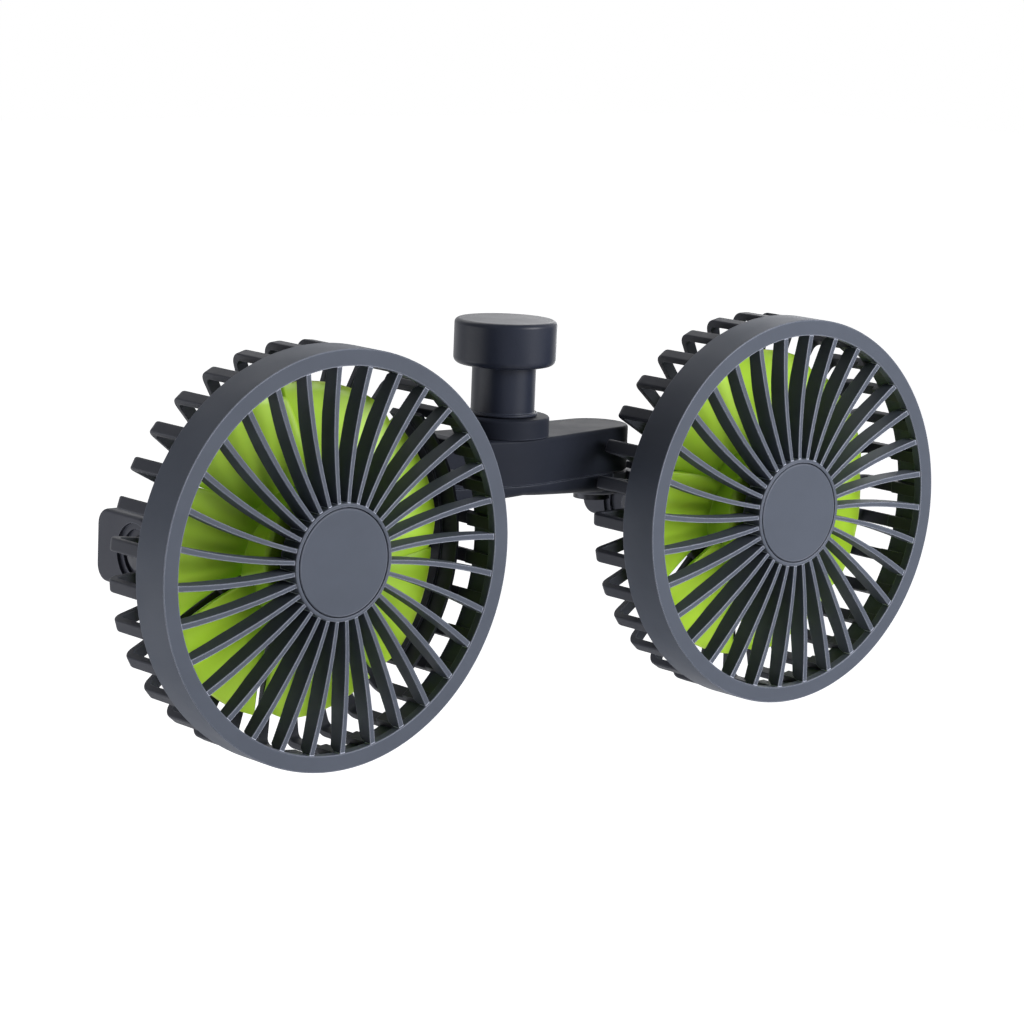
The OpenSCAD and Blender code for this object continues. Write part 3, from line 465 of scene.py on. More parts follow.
def metal(name, colour, rough=(0.22, 0.36), stretch=(1.0, 1.0, 1.0)):
    """Plated or turned metal with fine machining marks and a little tarnish."""
    m = Nodes(name)
    colour = srgb(*colour)
    marks = m.noise(900.0, 3.0, 0.6, stretch=stretch)
    stain = m.noise(130.0, 4.0, 0.65)
    m.link(m.mix(m.ramp(stain, 0.0, 0.6), colour, shade(colour, 0.72)), m.shader.inputs["Base Color"])
    m.link(m.ramp(marks, *rough), m.shader.inputs["Roughness"])
    m.link(m.bump(marks, 0.00002, 0.25), m.shader.inputs["Normal"])
    m.set(Metallic=1.0)
    return m.mat


def soft_rubber(name):
    m = Nodes(name)
    base = m.mix(m.ramp(m.noise(240.0, 3.0), 0.0, 1.0), srgb(24, 24, 26), srgb(38, 38, 41))
    m.link(base, m.shader.inputs["Base Color"])
    m.link(m.ramp(m.noise(90.0, 3.0), 0.6, 0.78), m.shader.inputs["Roughness"])
    m.link(m.bump(m.noise(2400.0, 2.0), 0.00004, 0.5), m.shader.inputs["Normal"])
    return m.mat


# Colour, colour of the painted edge highlight, roughness from and to, specular level, share of the
# highlight colour
PLASTICS = {
    "slate_plastic": ((70, 75, 86), (205, 210, 228), (0.52, 0.62), 0.14, 0.85),
    "cage_plastic": ((48, 50, 58), (142, 145, 158), (0.5, 0.6), 0.14, 0.5),
    "arm_plastic": ((29, 32, 41), (118, 123, 138), (0.5, 0.6), 0.07, 0.5),
    "foot_plastic": ((31, 35, 47), (132, 137, 152), (0.32, 0.42), 0.16, 0.5),
    # The yokes' look: the arm's plastic painted lighter, standing in for light on their ends.
    "arm_plastic_painted_lighter": ((56, 58, 67), (132, 136, 150), (0.5, 0.6), 0.14, 0.35),
}
MATS = {name: moulded_plastic(name, *look) for name, look in PLASTICS.items()}
MATS.update({
    "lime_plastic": blade_plastic("lime_plastic"),
    "steel": metal("steel", (190, 192, 196)),
    "black_steel": metal("black_steel", (52, 53, 57), rough=(0.34, 0.48)),
    "motor_metal": metal("motor_metal", (150, 152, 157), rough=(0.3, 0.45)),
    "brass": metal("brass", (212, 180, 104), stretch=(1.0, 6.0, 1.0)),
    "rubber": soft_rubber("rubber"),
})


def dress(obj, slot, body=None, *nodes, look=None):
    """Gives a piece its material, and its body and the CAD nodes it stands for."""
    obj.data.materials.clear()
    obj.data.materials.append(MATS[look or slot])
    if body:
        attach(obj, body)
        if nodes:
            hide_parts(*nodes)


# Front grille

def fin_loops(start_deg):
    """Closed loops from the hub to the ring along one fin that bows clockwise."""
    taper = math.asin((FIN_TIP_T - FIN_ROOT_T) / 2 / (FIN_END_R - FIN_ROOT_R))
    mid_r = (FIN_ROOT_R + OPEN_R) / 2
    edges = [FIN_EDGE_R, FIN_EDGE_R, FIN_REAR_EDGE_R, FIN_REAR_EDGE_R]
    loops = []
    for k in range(FIN_STEPS + 1):
        s = k / FIN_STEPS * (FIN_END_R - FIN_ROOT_R) * FIN_OVERRUN
        a = s / FIN_BOW_R
        x = FIN_ROOT_R + FIN_BOW_R * math.sin(a)
        z = FIN_BOW_R * (math.cos(a) - 1)
        r = math.hypot(x, z)
        half = FIN_ROOT_T / 2 + s * math.sin(taper)
        front = np.interp(r, [FIN_ROOT_R, mid_r, OPEN_R], FIN_FRONT)
        rear = np.interp(r, [FIN_ROOT_R, OPEN_R * 0.75, OPEN_R],
                         [FIN_INNER_DEPTH, FIN_INNER_DEPTH, FIN_OUTER_DEPTH])
        if r > OPEN_R:
            rear = FIN_END_DEPTH
        section = rounded_rect(-half, front, half, rear, edges)
        loops.append([(x + u * math.sin(a), y, z + u * math.cos(a)) for u, y in section])
    t = math.radians(start_deg)
    c, s = math.cos(t), math.sin(t)
    return [[(x * c - z * s, y, x * s + z * c) for x, y, z in loop] for loop in loops]


def front_grille(side_name):
    side = SIDES[side_name]
    ring = [(OPEN_R, 0), (RING_R, 0), (RING_R, RING_DEPTH), (RING_IN_R, RING_DEPTH),
            (RING_IN_R, FACE_T), (OPEN_R, FACE_T)]
    hub = [(HUB_R, -HUB_PROUD), (HUB_R, HUB_DEPTH), (HUB_IN_R, HUB_DEPTH),
           (HUB_IN_R, HUB_FLOOR_REAR), (PEG_BORE_R, HUB_FLOOR_REAR),
           (PEG_BORE_R, HUB_FLOOR_FRONT), (HUB_IN_R, HUB_FLOOR_FRONT), (HUB_IN_R, -HUB_PROUD)]
    ring_edges = [0.3, 0.3, 0.4, 0.3, 0.8, 0.4]
    hub_edges = [0.4, 0.3, 0.2, 0.2, 0.1, 0.1, 0.1, 0.35]
    form = Form()
    form.lathe(fillet(ring, ring_edges, 4), n=240)
    form.lathe(fillet(hub, hub_edges, 4), n=144)
    for i in range(FINS):
        form.skin(fin_loops(i * PITCH + FIN_START[side_name]))
    piece = weighted(mesh_object(f"grille_{side_name}", form, side))
    dress(piece, "slate_plastic", f"head_{side_name}", f"front_grille_{side_name}")


def hub_disc(side_name):
    """Disc inset in the hub ring, with a peg that holds it in the hub's floor."""
    disc_r = HUB_IN_R - HUB_GROOVE
    points = [(0, -HUB_PROUD), (disc_r, -HUB_PROUD), (disc_r, DISC_REAR), (PEG_R, DISC_REAR),
              (PEG_R, PEG_END), (0, PEG_END)]
    edges = [0, 0.45, 0.15, 0.1, 0.3, 0]
    disc = spindle(points, edges, 5, n=144)
    piece = weighted(mesh_object(f"hub_cap_{side_name}", disc, SIDES[side_name]))
    dress(piece, "slate_plastic", f"head_{side_name}", f"hub_disc_{side_name}")


# Rear cage and tilt bracket

def rib_width(r):
    share = (r - (PLATE_R - RIB_T / 2)) / (RING_R - PLATE_R + RIB_T / 2)
    return RIB_INNER_W + (RIB_OUTER_W - RIB_INNER_W) * share


def rib_loops(angle):
    """A hook from the ring's rear edge round the back corner and in to the motor plate."""
    stations = [((RIB_R, y), (CAGE_IN_R, y)) for y in RIB_SIDE_YS]
    out_r, in_r, steps = RIB_CORNER_R, RIB_CORNER_R / 2, 8
    for k in range(steps + 1):
        a = math.pi / 2 * k / steps
        stations.append((
            (RIB_R - out_r + out_r * math.cos(a), BACK_Y - out_r + out_r * math.sin(a)),
            (CAGE_IN_R - in_r + in_r * math.cos(a), RIB_Y - in_r + in_r * math.sin(a)),
        ))
    stations += [((r, BACK_Y), (r, RIB_Y)) for r in RIB_BACK_RS]
    c, s = math.cos(angle), math.sin(angle)
    loops = []
    for outer, inner in stations:
        o, i = np.array(outer), np.array(inner)
        half = rib_width(o[0]) / 2
        depth = np.linalg.norm(o - i)
        d = (i - o) / depth
        loop = []
        for w, t in rounded_rect(-half, 0, half, depth, RIB_EDGES):
            r, y = o + d * t
            loop.append((r * c - w * s, y, r * s + w * c))
        loops.append(loop)
    return loops


def tongue_loops(angle):
    """The part of a rib that reaches into the front grille's ring."""
    c, s = math.cos(angle), math.sin(angle)
    half = rib_width(RIB_R) / 2
    section = rounded_rect(TONGUE_IN_R, -half, RING_IN_R - TONGUE_FIT, half, 0.3, 2)
    return [[(r * c - w * s, y, r * s + w * c) for r, w in section]
            for y in (FACE_T + FACE_GAP, RING_DEPTH + TONGUE_OVERLAP)]


def guard_loops():
    """Stepped wall inside the left cage, on the arm's side."""
    step_y, rear_y = (GUARD_FRONT_Y + RIB_Y) / 2, RIB_Y + GUARD_OVERLAP
    points = [(GUARD_IN_R, step_y), (GUARD_STEP_R, step_y), (GUARD_STEP_R, GUARD_FRONT_Y),
              (GUARD_R, GUARD_FRONT_Y), (GUARD_R, rear_y), (GUARD_IN_R, rear_y)]
    edges = [0.15, 0.1, 0.3, 0.3, 0.0, 0.0]
    section = fillet(points, edges, 3)
    loops, steps = [], 40
    for k in range(steps + 1):
        a = math.pi + math.radians(-GUARD_SPAN / 2 + GUARD_SPAN * k / steps)
        loops.append([(r * math.cos(a), y, r * math.sin(a)) for r, y in section])
    return loops


def lug_form(x0, x1):
    """Lug with a round end about the tilt axis and a foot that runs down into the web."""
    outline, steps = [], 24
    for k in range(steps + 1):
        a = math.radians(-90 + 180 * k / steps)
        outline.append((TILT_Y + TILT_LUG_R * math.cos(a), TILT_LUG_R * math.sin(a)))
    foot_y = SLOT_Y + WEB_T / 3
    outline += [(foot_y, TILT_LUG_R), (foot_y, -TILT_LUG_R)]
    edge = ((0, 0.5), (0.15, 0.15), (0.5, 0.0))
    stations = [(x0 + x, inset) for x, inset in edge] + [(x1 - x, inset) for x, inset in edge[::-1]]
    loops = []
    for x, inset in stations:
        k = 1 - inset / TILT_LUG_R
        loops.append([(x, TILT_Y + (y - TILT_Y) * (k if y > TILT_Y else 1), z * k)
                      for y, z in outline])
    return Form().skin(loops)


def web_slot(side):
    """Cutter for the slot that the tilt bracket's web sits in."""
    form = Form().block(
        (-LUG_IN_X - SEAT_FIT, SLOT_Y, -BRACKET_H / 2 - SEAT_FIT),
        (LUG_OUT_X + SEAT_FIT, BACK_Y + FAR_PAST, BRACKET_H / 2 + SEAT_FIT), 0.01)
    return mirrored("slot", form, side)


def cheek_scoop(side):
    """Cutter for the trough that keeps the outer ribs clear of the yoke's cheek as it tilts."""
    return mirrored("scoop", rod(SCOOP_R, LUG_OUT_X + SEAT_FIT, CHEEK_OUT_X + FACE_GAP,
                                 (0, TILT_Y, 0), "x", n=120), side)


def scoop_block():
    """Block under the trough, round about the tilt axis."""
    outer_r = SCOOP_R + SCOOP_WALL
    section, steps = [], 24
    for k in range(steps + 1):
        z = BRACKET_H * (k / steps - 0.5)
        section.append((TILT_Y - math.sqrt(outer_r ** 2 - z ** 2), z))
    section += [(BACK_Y, BRACKET_H / 2), (BACK_Y, -BRACKET_H / 2)]
    ends = (LUG_OUT_X + SEAT_FIT - SCOOP_WALL, CHEEK_OUT_X + FACE_GAP + SCOOP_WALL)
    return Form().skin([[(x, y, z) for y, z in section] for x in ends])


def screw_holes(side, seats=False):
    """Cutters for the motor screws, and for the seats of their heads where asked."""
    rear = BACK_Y + PAST
    holes = []
    for i in range(MOTOR_SCREWS):
        a = math.radians(-i * 360 / MOTOR_SCREWS)
        centre = (MOTOR_SCREW_CIRCLE_R * math.cos(a), 0, MOTOR_SCREW_CIRCLE_R * math.sin(a))
        holes.append(mirrored("hole", rod(MOTOR_SCREW_HOLE_R, PLATE_Y - PAST, rear, centre), side))
        if seats:
            seat = rod(MOTOR_SCREW_SEAT_R, BACK_Y - MOTOR_SCREW_SEAT_T, rear, centre)
            holes.append(mirrored("seat", seat, side))
    return holes


def merge(piece, others):
    """Adds the other objects' meshes to the piece's and removes them."""
    bm = bmesh.new()
    for obj in [piece] + others:
        bm.from_mesh(obj.data)
    bm.to_mesh(piece.data)
    bm.free()
    discard(others)
    piece.data.polygons.foreach_set("use_smooth", [True] * len(piece.data.polygons))
    sharpen(piece)


def cage_plate(side_name):
    """Round plate in the cage's middle, which the motor is screwed to."""
    side = SIDES[side_name]
    disc = spindle([(0, PLATE_Y), (PLATE_R, PLATE_Y), (PLATE_R, BACK_Y), (0, BACK_Y)],
                   [0, 0.5, 0.8, 0], 4)
    piece = mirrored(f"cage_plate_{side_name}", disc, side)
    cut(piece, [web_slot(side)] + screw_holes(side))
    sharpen(piece)
    dress(weighted(piece), "cage_plastic", f"head_{side_name}", f"rear_cage_{side_name}")


def rear_cage(side_name):
    """Ribs, bars beside the plate, guard and trough. Ribs that cross the bracket get its slot."""
    side = SIDES[side_name]
    form, crossing = Form(), Form()
    reach = (BRACKET_H + RIB_OUTER_W) / 2
    for i in range(FINS):
        a = math.radians((i + RIB_PHASE_SHARE[side_name]) * PITCH)
        near = abs(math.sin(a)) * (PLATE_R - RIB_T / 2) < reach
        (crossing if near else form).skin(rib_loops(a))
        form.skin(tongue_loops(a))
    for x0, x1 in ((-LUG_IN_X, -PLATE_R + BAR_SINK), (PLATE_R - BAR_SINK, LUG_OUT_X)):
        form.block((x0, PLATE_Y, -BRACKET_H / 2), (x1, SLOT_Y, BRACKET_H / 2), 0.3)
    if side < 0:
        form.skin(guard_loops())
    piece = mirrored(f"cage_{side_name}", form, side)
    others = [mirrored("crossing", crossing, side), mirrored("trough", scoop_block(), side)]
    for other in others:
        cut(other, [web_slot(side), cheek_scoop(side)])
    merge(piece, others)
    dress(weighted(piece), "cage_plastic", f"head_{side_name}", f"rear_cage_{side_name}")


def tilt_bracket(side_name):
    """Strip let into the cage's back, with a lug for each cheek of the yoke."""
    side = SIDES[side_name]
    web = Form().block((-LUG_IN_X, SLOT_Y + SEAT_FIT, -BRACKET_H / 2),
                       (LUG_OUT_X, BACK_Y, BRACKET_H / 2), 0.4)
    piece = mirrored(f"bracket_{side_name}", web, side)
    cut(piece, [mirrored("lug", lug_form(x, x + LUG_T), side)
                for x in (-LUG_IN_X, LUG_OUT_X - LUG_T)], "UNION")
    bore = rod(TILT_BORE_R, -CHEEK_IN_X, CHEEK_OUT_X, (0, TILT_Y, 0), "x")
    cut(piece, [mirrored("bore", bore, side)] + screw_holes(side, seats=True))
    sharpen(piece)
    dress(weighted(piece), "cage_plastic", f"head_{side_name}", f"tilt_bracket_{side_name}")


# Impeller

REARWARDS = np.array([0.0, 1.0, 0.0])


def blade_point(u, v, turn):
    """Half way through a blade's thickness: u from root to tip, v from front edge to rear edge."""
    span = ROOT_SPAN + (TIP_SPAN - ROOT_SPAN) * u
    depth = ROOT_DEPTH + (TIP_DEPTH - ROOT_DEPTH) * u
    tip_r = IMPELLER_R - CORNER_CUT * max(0.0, 1 - v / CORNER_SHARE) ** 2
    r = BLADE_ROOT_R + u * (tip_r - BLADE_ROOT_R)
    a = math.radians(span * (v - 0.5) + BLADE_SWEEP * u + turn)
    camber = depth * CAMBER_SHARE * math.sin(math.pi * v)
    y = BLADE_REAR_Y - BLADE_T / 2 - (1 - v) * (depth - BLADE_T) + camber * (1 - v)
    return np.array([r * math.cos(a), y, r * math.sin(a)])


def blade_edge(end, inner, half, first):
    """Points that round off a blade's edge. First is -1 from the front face, 1 from the rear one."""
    out = end - inner
    out /= np.linalg.norm(out)
    return [end + half * (math.cos(t) * out + math.sin(t) * REARWARDS)
            for t in (first * math.pi / 4, 0, -first * math.pi / 4)]


def blade_loops(turn):
    """Closed loops round one blade, from inside the cup's wall to the tip."""
    loops = []
    for i in range(BLADE_STATIONS + 1):
        u = i / BLADE_STATIONS
        half = BLADE_T / 2 * (1.0 if i < BLADE_STATIONS else TIP_THIN)
        span = math.radians(ROOT_SPAN + (TIP_SPAN - ROOT_SPAN) * u)
        edge = BLADE_T / 2 / (span * (BLADE_ROOT_R + u * (IMPELLER_R - BLADE_ROOT_R)))
        line = [blade_point(u, edge + (1 - 2 * edge) * j / BLADE_CHORD, turn)
                for j in range(BLADE_CHORD + 1)]
        loop = [p - REARWARDS * half for p in line] + blade_edge(line[-1], line[-2], half, -1)
        loop += [p + REARWARDS * half for p in line[::-1]] + blade_edge(line[0], line[1], half, 1)
        loops.append(loop)
    return loops


def impeller(side_name):
    cup = [(SHAFT_BORE_R, NUT_SEAT_Y), (NUT_SEAT_R, NUT_SEAT_Y), (NUT_SEAT_R, CUP_FRONT),
           (HUB_CUP_R, CUP_FRONT), (HUB_CUP_R, CUP_REAR), (CUP_BORE_R, CUP_REAR),
           (CUP_BORE_R, CUP_FLOOR), (CUP_BOSS_R, CUP_FLOOR), (CUP_BOSS_R, CUP_BOSS_REAR),
           (SHAFT_BORE_R, CUP_BOSS_REAR)]
    cup_edges = [0.1, 0.1, 0.2, 1.5, 0.5, 0.3, 1.2, 0.0, 0.0, 0.0]
    form = Form()
    form.lathe(fillet(cup, cup_edges, 5), n=120)
    for i in range(BLADES):
        form.skin(blade_loops(i * 360 / BLADES + WHEEL_TURN[side_name]))
    piece = mesh_object(f"fan_{side_name}_wheel", form, SIDES[side_name], sharp=50)
    dress(weighted(piece), "lime_plastic", f"fan_{side_name}", f"impeller_{side_name}")


# Yoke

def yoke_skin(x0, x1):
    """The yoke's outside, with an underside that falls towards the outer end."""
    turns, steps = (0, 0.4, 0.8, 1.2, math.pi / 2), 12
    ends = [(YOKE_END_EDGE * (1 - math.cos(a)), YOKE_END_EDGE * (1 - math.sin(a))) for a in turns]
    stations = [(x0 + x, inset) for x, inset in ends]
    stations += [(x0 + (x1 - x0) * k / steps, 0.0) for k in range(1, steps)]
    stations += [(x1 - x, inset) for x, inset in ends[::-1]]
    loops = []
    for x, inset in stations:
        low = YOKE_LOW_IN + (YOKE_LOW_OUT - YOKE_LOW_IN) * (x - x0) / (x1 - x0)
        section = rounded_rect(YOKE_Y0 + inset, low + inset, YOKE_Y1 - inset, YOKE_TOP - inset,
                               YOKE_EDGE_R - inset, 7)
        loops.append([(x, y, z) for y, z in section])
    return Form().skin(loops)


def yoke_body(side_name):
    """Bar with two cheeks round the cage's back, and a boss under the arm's end."""
    side = SIDES[side_name]
    x0, x1 = -CHEEK_IN_X, CHEEK_OUT_X
    pan_x = BOSS_X - HEAD_X
    tilt_axis, pan_axis = (0, TILT_Y, 0), (pan_x, BOSS_Y, 0)
    body = mirrored(f"yoke_{side_name}_body", yoke_skin(x0, x1), side)
    mouth = Form().block((x0 + CHEEK_T, YOKE_Y0 - FAR_PAST, -MOUTH_REACH),
                         (x1 - CHEEK_T, YOKE_Y1 - YOKE_BAR_T, MOUTH_REACH), 1.0)
    cutters = [mirrored("mouth", mouth, side)]
    for x, out in ((x1, 1), (x0, -1)):
        for r, depth in END_STEPS:
            a, b = sorted((x - out * depth, x + out * PAST))
            cutters.append(mirrored("step", rod(r, a, b, tilt_axis, "x", n=72), side))
    bore = rod(YOKE_BORE_R, x0 - PAST, x1 + PAST, tilt_axis, "x", n=40)
    pocket = Form().block(
        (-COVER_L / 2 - SEAT_FIT, YOKE_Y1 - COVER_T, COVER_Z - COVER_H / 2),
        (COVER_L / 2 + SEAT_FIT, YOKE_Y1 + FAR_PAST, COVER_Z + COVER_H / 2), 0.05)
    cut(body, cutters + [mirrored("bore", bore, side), mirrored("pocket", pocket, side)])
    boss = spindle([(0, BOSS_LOW), (BOSS_R, BOSS_LOW), (BOSS_R, YOKE_TOP), (0, YOKE_TOP)],
                   [0, BOSS_EDGE_R, 0.3, 0], 6, pan_axis, "z", n=72)
    web = Form().block((pan_x, BOSS_Y, BOSS_LOW + BOSS_EDGE_R),
                       (x0 + CHEEK_T, YOKE_Y1 - YOKE_EDGE_R, YOKE_TOP), 0.3)
    cut(body, [mirrored("boss", boss, side), mirrored("web", web, side)], "UNION")
    cut(body, [mirrored("pan", rod(PAN_BORE_R, *PAN_CUT, pan_axis, "z", n=40), side)])
    soften(body, YOKE_SOFT_EDGE)
    # Shown in a lighter copy of the arm's plastic: painted light on the yoke.
    dress(weighted(body), "arm_plastic", f"yoke_{side_name}", f"yoke_{side_name}",
          look="arm_plastic_painted_lighter")


def yoke_cover(side_name):
    side = SIDES[side_name]
    lid = Form().block(
        (-COVER_L / 2, YOKE_Y1 - COVER_T + SEAT_FIT, COVER_Z - COVER_H / 2 + SEAT_FIT),
        (COVER_L / 2, YOKE_Y1, COVER_Z + COVER_H / 2 - SEAT_FIT), 0.3)
    cover = mirrored(f"yoke_{side_name}_lid", lid, side)
    seat_y = YOKE_Y1 - COVER_SEAT_T
    hole = ((COVER_HOLE_R, YOKE_Y1 - FAR_PAST, seat_y), (COVER_SEAT_R, seat_y, YOKE_Y1 + 1))
    cut(cover, [mirrored("hole", stepped_rod(hole, (x, 0, COVER_Z), n=32), side)
                for x in (-COVER_SCREW_X, COVER_SCREW_X)])
    sharpen(cover, 30)
    # Shown in a lighter copy of the arm's plastic: painted light on the cover.
    dress(weighted(cover), "arm_plastic", f"yoke_{side_name}", f"yoke_cover_{side_name}",
          look="arm_plastic_painted_lighter")


# Arm and foot

def arc(centre, r, start, end, steps):
    out = []
    for k in range(steps + 1):
        a = math.radians(start + (end - start) * k / steps)
        out.append((centre[0] + r * math.cos(a), centre[1] + r * math.sin(a)))
    return out


def between(p, q, steps=8):
    """Points on the straight line from p to q, without its ends."""
    return [(p[0] + (q[0] - p[0]) * k / steps, p[1] + (q[1] - p[1]) * k / steps)
            for k in range(1, steps)]


def arm_outline(inset):
    """Points round the arm's plan, drawn in by inset, always the same number of them."""
    big, small, bow = ARM_R - inset, BOSS_R - inset, ARM_BOW_R - inset
    distance = math.hypot(BOSS_X, BOSS_Y - FOOT_Y)
    base = math.degrees(math.atan2(BOSS_Y - FOOT_Y, BOSS_X))
    half = math.degrees(math.acos((big - small) / distance))
    front, rear = base - half, base + half
    bow_y = FOOT_Y + (bow - big) / math.cos(math.radians(front + 90))
    # With 16 steps on the long sides the lid's cut comes out empty
    side_steps, end_steps = 12, 28
    arcs = [
        arc((0, bow_y), bow, -180 - front, front, side_steps),
        arc((BOSS_X, BOSS_Y), small, front, rear, end_steps),
        arc((0, FOOT_Y), big, rear, 180 - rear, side_steps),
        arc((-BOSS_X, BOSS_Y), small, 180 - rear, 180 - front, end_steps),
    ]
    points = []
    for this, following in zip(arcs, arcs[1:] + arcs[:1]):
        points += this + between(this[-1], following[0])
    return points


def arm_shell():
    """Upper half, with the post's bore, the swivel bush's pocket and the cable inlet's pad."""
    levels = [(PARTING_Z + rise, inset) for rise, inset in GROOVE_ABOVE] + [(ARM_SIDE_Z, 0.0)]
    levels += [(ARM_TOP - ARM_EDGE_R * (1 - math.sin(a)), ARM_EDGE_R * (1 - math.cos(a)))
               for a in (0, 0.35, 0.7, 1.05, 1.35, math.pi / 2)]
    body = mesh_object("arm_shell", Form().skin(
        [[(x, y, z) for x, y in arm_outline(inset)] for z, inset in levels]))
    pad = spindle([(0, PAD_FRONT), (PAD_R, PAD_FRONT), (PAD_R, PAD_REAR), (0, PAD_REAR)],
                  [0, 0, 0.5, 0], 4, INLET, n=64)
    cut(body, [mesh_object("pad", pad)], "UNION")
    cut(body, [
        mesh_object("bore", rod(POST_BORE_R, *ARM_CUT, POST, "z", n=96)),
        mesh_object("pocket", rod(POCKET_R, ARM_CUT[0], POCKET_TOP, POST, "z", n=96)),
        mesh_object("inlet", rod(INLET_BORE_R, *INLET_CUT, INLET, n=48)),
    ])
    sharpen(body, 35)
    dress(weighted(body), "arm_plastic", "arm", "arm_upper_shell")


def arm_middle_y(x):
    return FOOT_Y + (BOSS_Y - FOOT_Y) * min(1, abs(x) / BOSS_X)


def arm_low_z(x):
    return ARM_LOW - ARM_DROOP * min(1.0, abs(x) / BOSS_X)


def arm_lid():
    """Lower half, open at the ends for the yokes' bosses."""
    loops = []
    for drop, inset in GROOVE_BELOW:
        loops.append([(x, y, PARTING_Z - drop) for x, y in arm_outline(inset)])
    for a in (0, 0.3, 0.6, 0.9, 1.2, math.pi / 2):
        inset, rise = LID_EDGE_R * (1 - math.cos(a)), LID_EDGE_R * (1 - math.sin(a))
        loops.append([(x, y, min(arm_low_z(x) + rise, PARTING_Z - LID_SIDE_MIN))
                      for x, y in arm_outline(inset)])
    for share in LID_RINGS:
        loops.append([(x, arm_middle_y(x) + (y - arm_middle_y(x)) * share, arm_low_z(x))
                      for x, y in arm_outline(LID_EDGE_R)])
    cover = mesh_object("arm_lid", Form().skin(loops))
    seat_z = ARM_LOW + LID_SEAT_T
    low, high = LID_CUT
    hole = ((LID_SEAT_R, low, seat_z), (LID_HOLE_R, seat_z, high))
    cutters = []
    for s in (-1, 1):
        relief = rod(LID_RELIEF_R, low, high, (s * BOSS_X, BOSS_Y, 0), "z", n=96)
        x0, x1 = sorted((s * BOSS_X, s * LID_END_CUT))
        side = Form().block((x0, 0, low), (x1, LID_END_CUT, high), 0.01)
        cutters.append(mesh_object("relief", relief))
        cutters.append(mesh_object("side", side))
        for y in LID_SCREW_Y:
            screw = stepped_rod(hole, (s * LID_SCREW_X, y, 0), "z", n=40)
            cutters.append(mesh_object("hole", screw))
    cut(cover, cutters)
    sharpen(cover, 35)
    dress(weighted(cover), "arm_plastic", "arm", "arm_lower_cover")


def arm_fittings():
    collar = [(POST_BORE_R, ARM_TOP), (COLLAR_R, ARM_TOP), (COLLAR_R, COLLAR_TOP),
              (POST_BORE_R, COLLAR_TOP)]
    collar_edges = [0.0, 0.3, 0.7, 0.3]
    collar = Form().lathe(fillet(collar, collar_edges, 5), POST, "z", n=128)
    dress(weighted(mesh_object("arm_collar", collar)), "arm_plastic", "arm", "swivel_collar")
    grommet = [(GROMMET_BORE_R, GROMMET_FRONT), (GROMMET_R, GROMMET_FRONT),
               (GROMMET_R, GROMMET_SEAT), (GROMMET_FLANGE_R, GROMMET_SEAT),
               (GROMMET_FLANGE_R, GROMMET_REAR), (GROMMET_BORE_R, GROMMET_REAR)]
    grommet_edges = [0.3, 0.2, 0.05, 0.1, 0.7, 0.5]
    grommet = Form().lathe(fillet(grommet, grommet_edges, 5), INLET, n=64)
    dress(weighted(mesh_object("grommet", grommet)), "rubber", "arm", "cable_inlet")


def foot():
    cap = spindle([(0, CAP_LOW), (CAP_R, CAP_LOW), (CAP_R, CAP_TOP), (0, CAP_TOP)],
                  [0, CAP_LOW_EDGE_R, CAP_TOP_EDGE_R, 0], 8, POST, "z", n=160)
    dress(weighted(mesh_object("foot_head", cap)), "foot_plastic", "foot", "foot_cap")
    neck = [(0, NECK_LOW), (NECK_FLANGE_R, NECK_LOW), (NECK_FLANGE_R, NECK_FLANGE_TOP),
            (NECK_R, NECK_FLANGE_TOP), (NECK_R, NECK_TOP), (0, NECK_TOP)]
    neck_edges = [0, 0.25, 0.3, 0.25, 0.1, 0]
    neck = spindle(neck, neck_edges, 4, POST, "z", n=128)
    dress(weighted(mesh_object("foot_column", neck)), "foot_plastic", "foot")


for side_name in SIDES:
    for build in (front_grille, hub_disc, cage_plate, rear_cage, tilt_bracket, impeller,
                  yoke_body, yoke_cover):
        build(side_name)
arm_shell()
arm_lid()
arm_fittings()
foot()

# CAD pieces that are shown as they are, by material
KEPT = {
    "foot_plastic": ["foot_neck"],
    "steel": ["swivel_washer", "swivel_screw", "arm_cover_screws"],
    "black_steel": ["pan_pin_left", "pan_pin_right", "tilt_pins_left", "tilt_pins_right"],
    "brass": ["swivel_bush", "pan_washers"],
}
for side_name in SIDES:
    KEPT["steel"] += [f"{n}_{side_name}" for n in ("yoke_screws", "motor_screws", "motor_shaft")]
    KEPT["brass"] += [f"{n}_{side_name}" for n in ("motor_bush", "impeller_nut")]
    KEPT.setdefault("motor_metal", []).append(f"motor_can_{side_name}")
for slot_name, node_names in KEPT.items():
    for node_name in node_names:
        dress(frame["nodes"][node_name], slot_name)


# Stage, lights and camera, in metres apart from the camera's place

FLOOR_REACH, FLOOR_Z = 6.0, -0.42
FLOOR_GLOW = {"From Min": 0.3, "From Max": 0.75, "To Min": 0.38, "To Max": 1.0}
LAMP_TARGET = (0.0, -0.02, -0.057)
CAMERA_TARGET, CAMERA_DISTANCE = (-26.0, 0, 8.97), 996.6
CAMERA_AZIMUTH, CAMERA_HEIGHT, CAMERA_ROLL = -40.15, 9.78, 2.3
FOCAL_PIXELS, PHOTO_PIXELS, SENSOR_W = 3600.0, 1024, 36.0


def shown_rays(tree):
    """1 for rays from the camera, reflected or transmitted: these see the white background."""
    path = tree.nodes.new("ShaderNodeLightPath")
    result = path.outputs["Is Camera Ray"]
    for kind in ("Is Glossy Ray", "Is Transmission Ray"):
        either = tree.nodes.new("ShaderNodeMath")
        either.operation = "MAXIMUM"
        tree.links.new(result, either.inputs[0])
        tree.links.new(path.outputs[kind], either.inputs[1])
        result = either.outputs[0]
    return result


def wire(tree, *pairs):
    for a, b in pairs:
        tree.links.new(a, b)


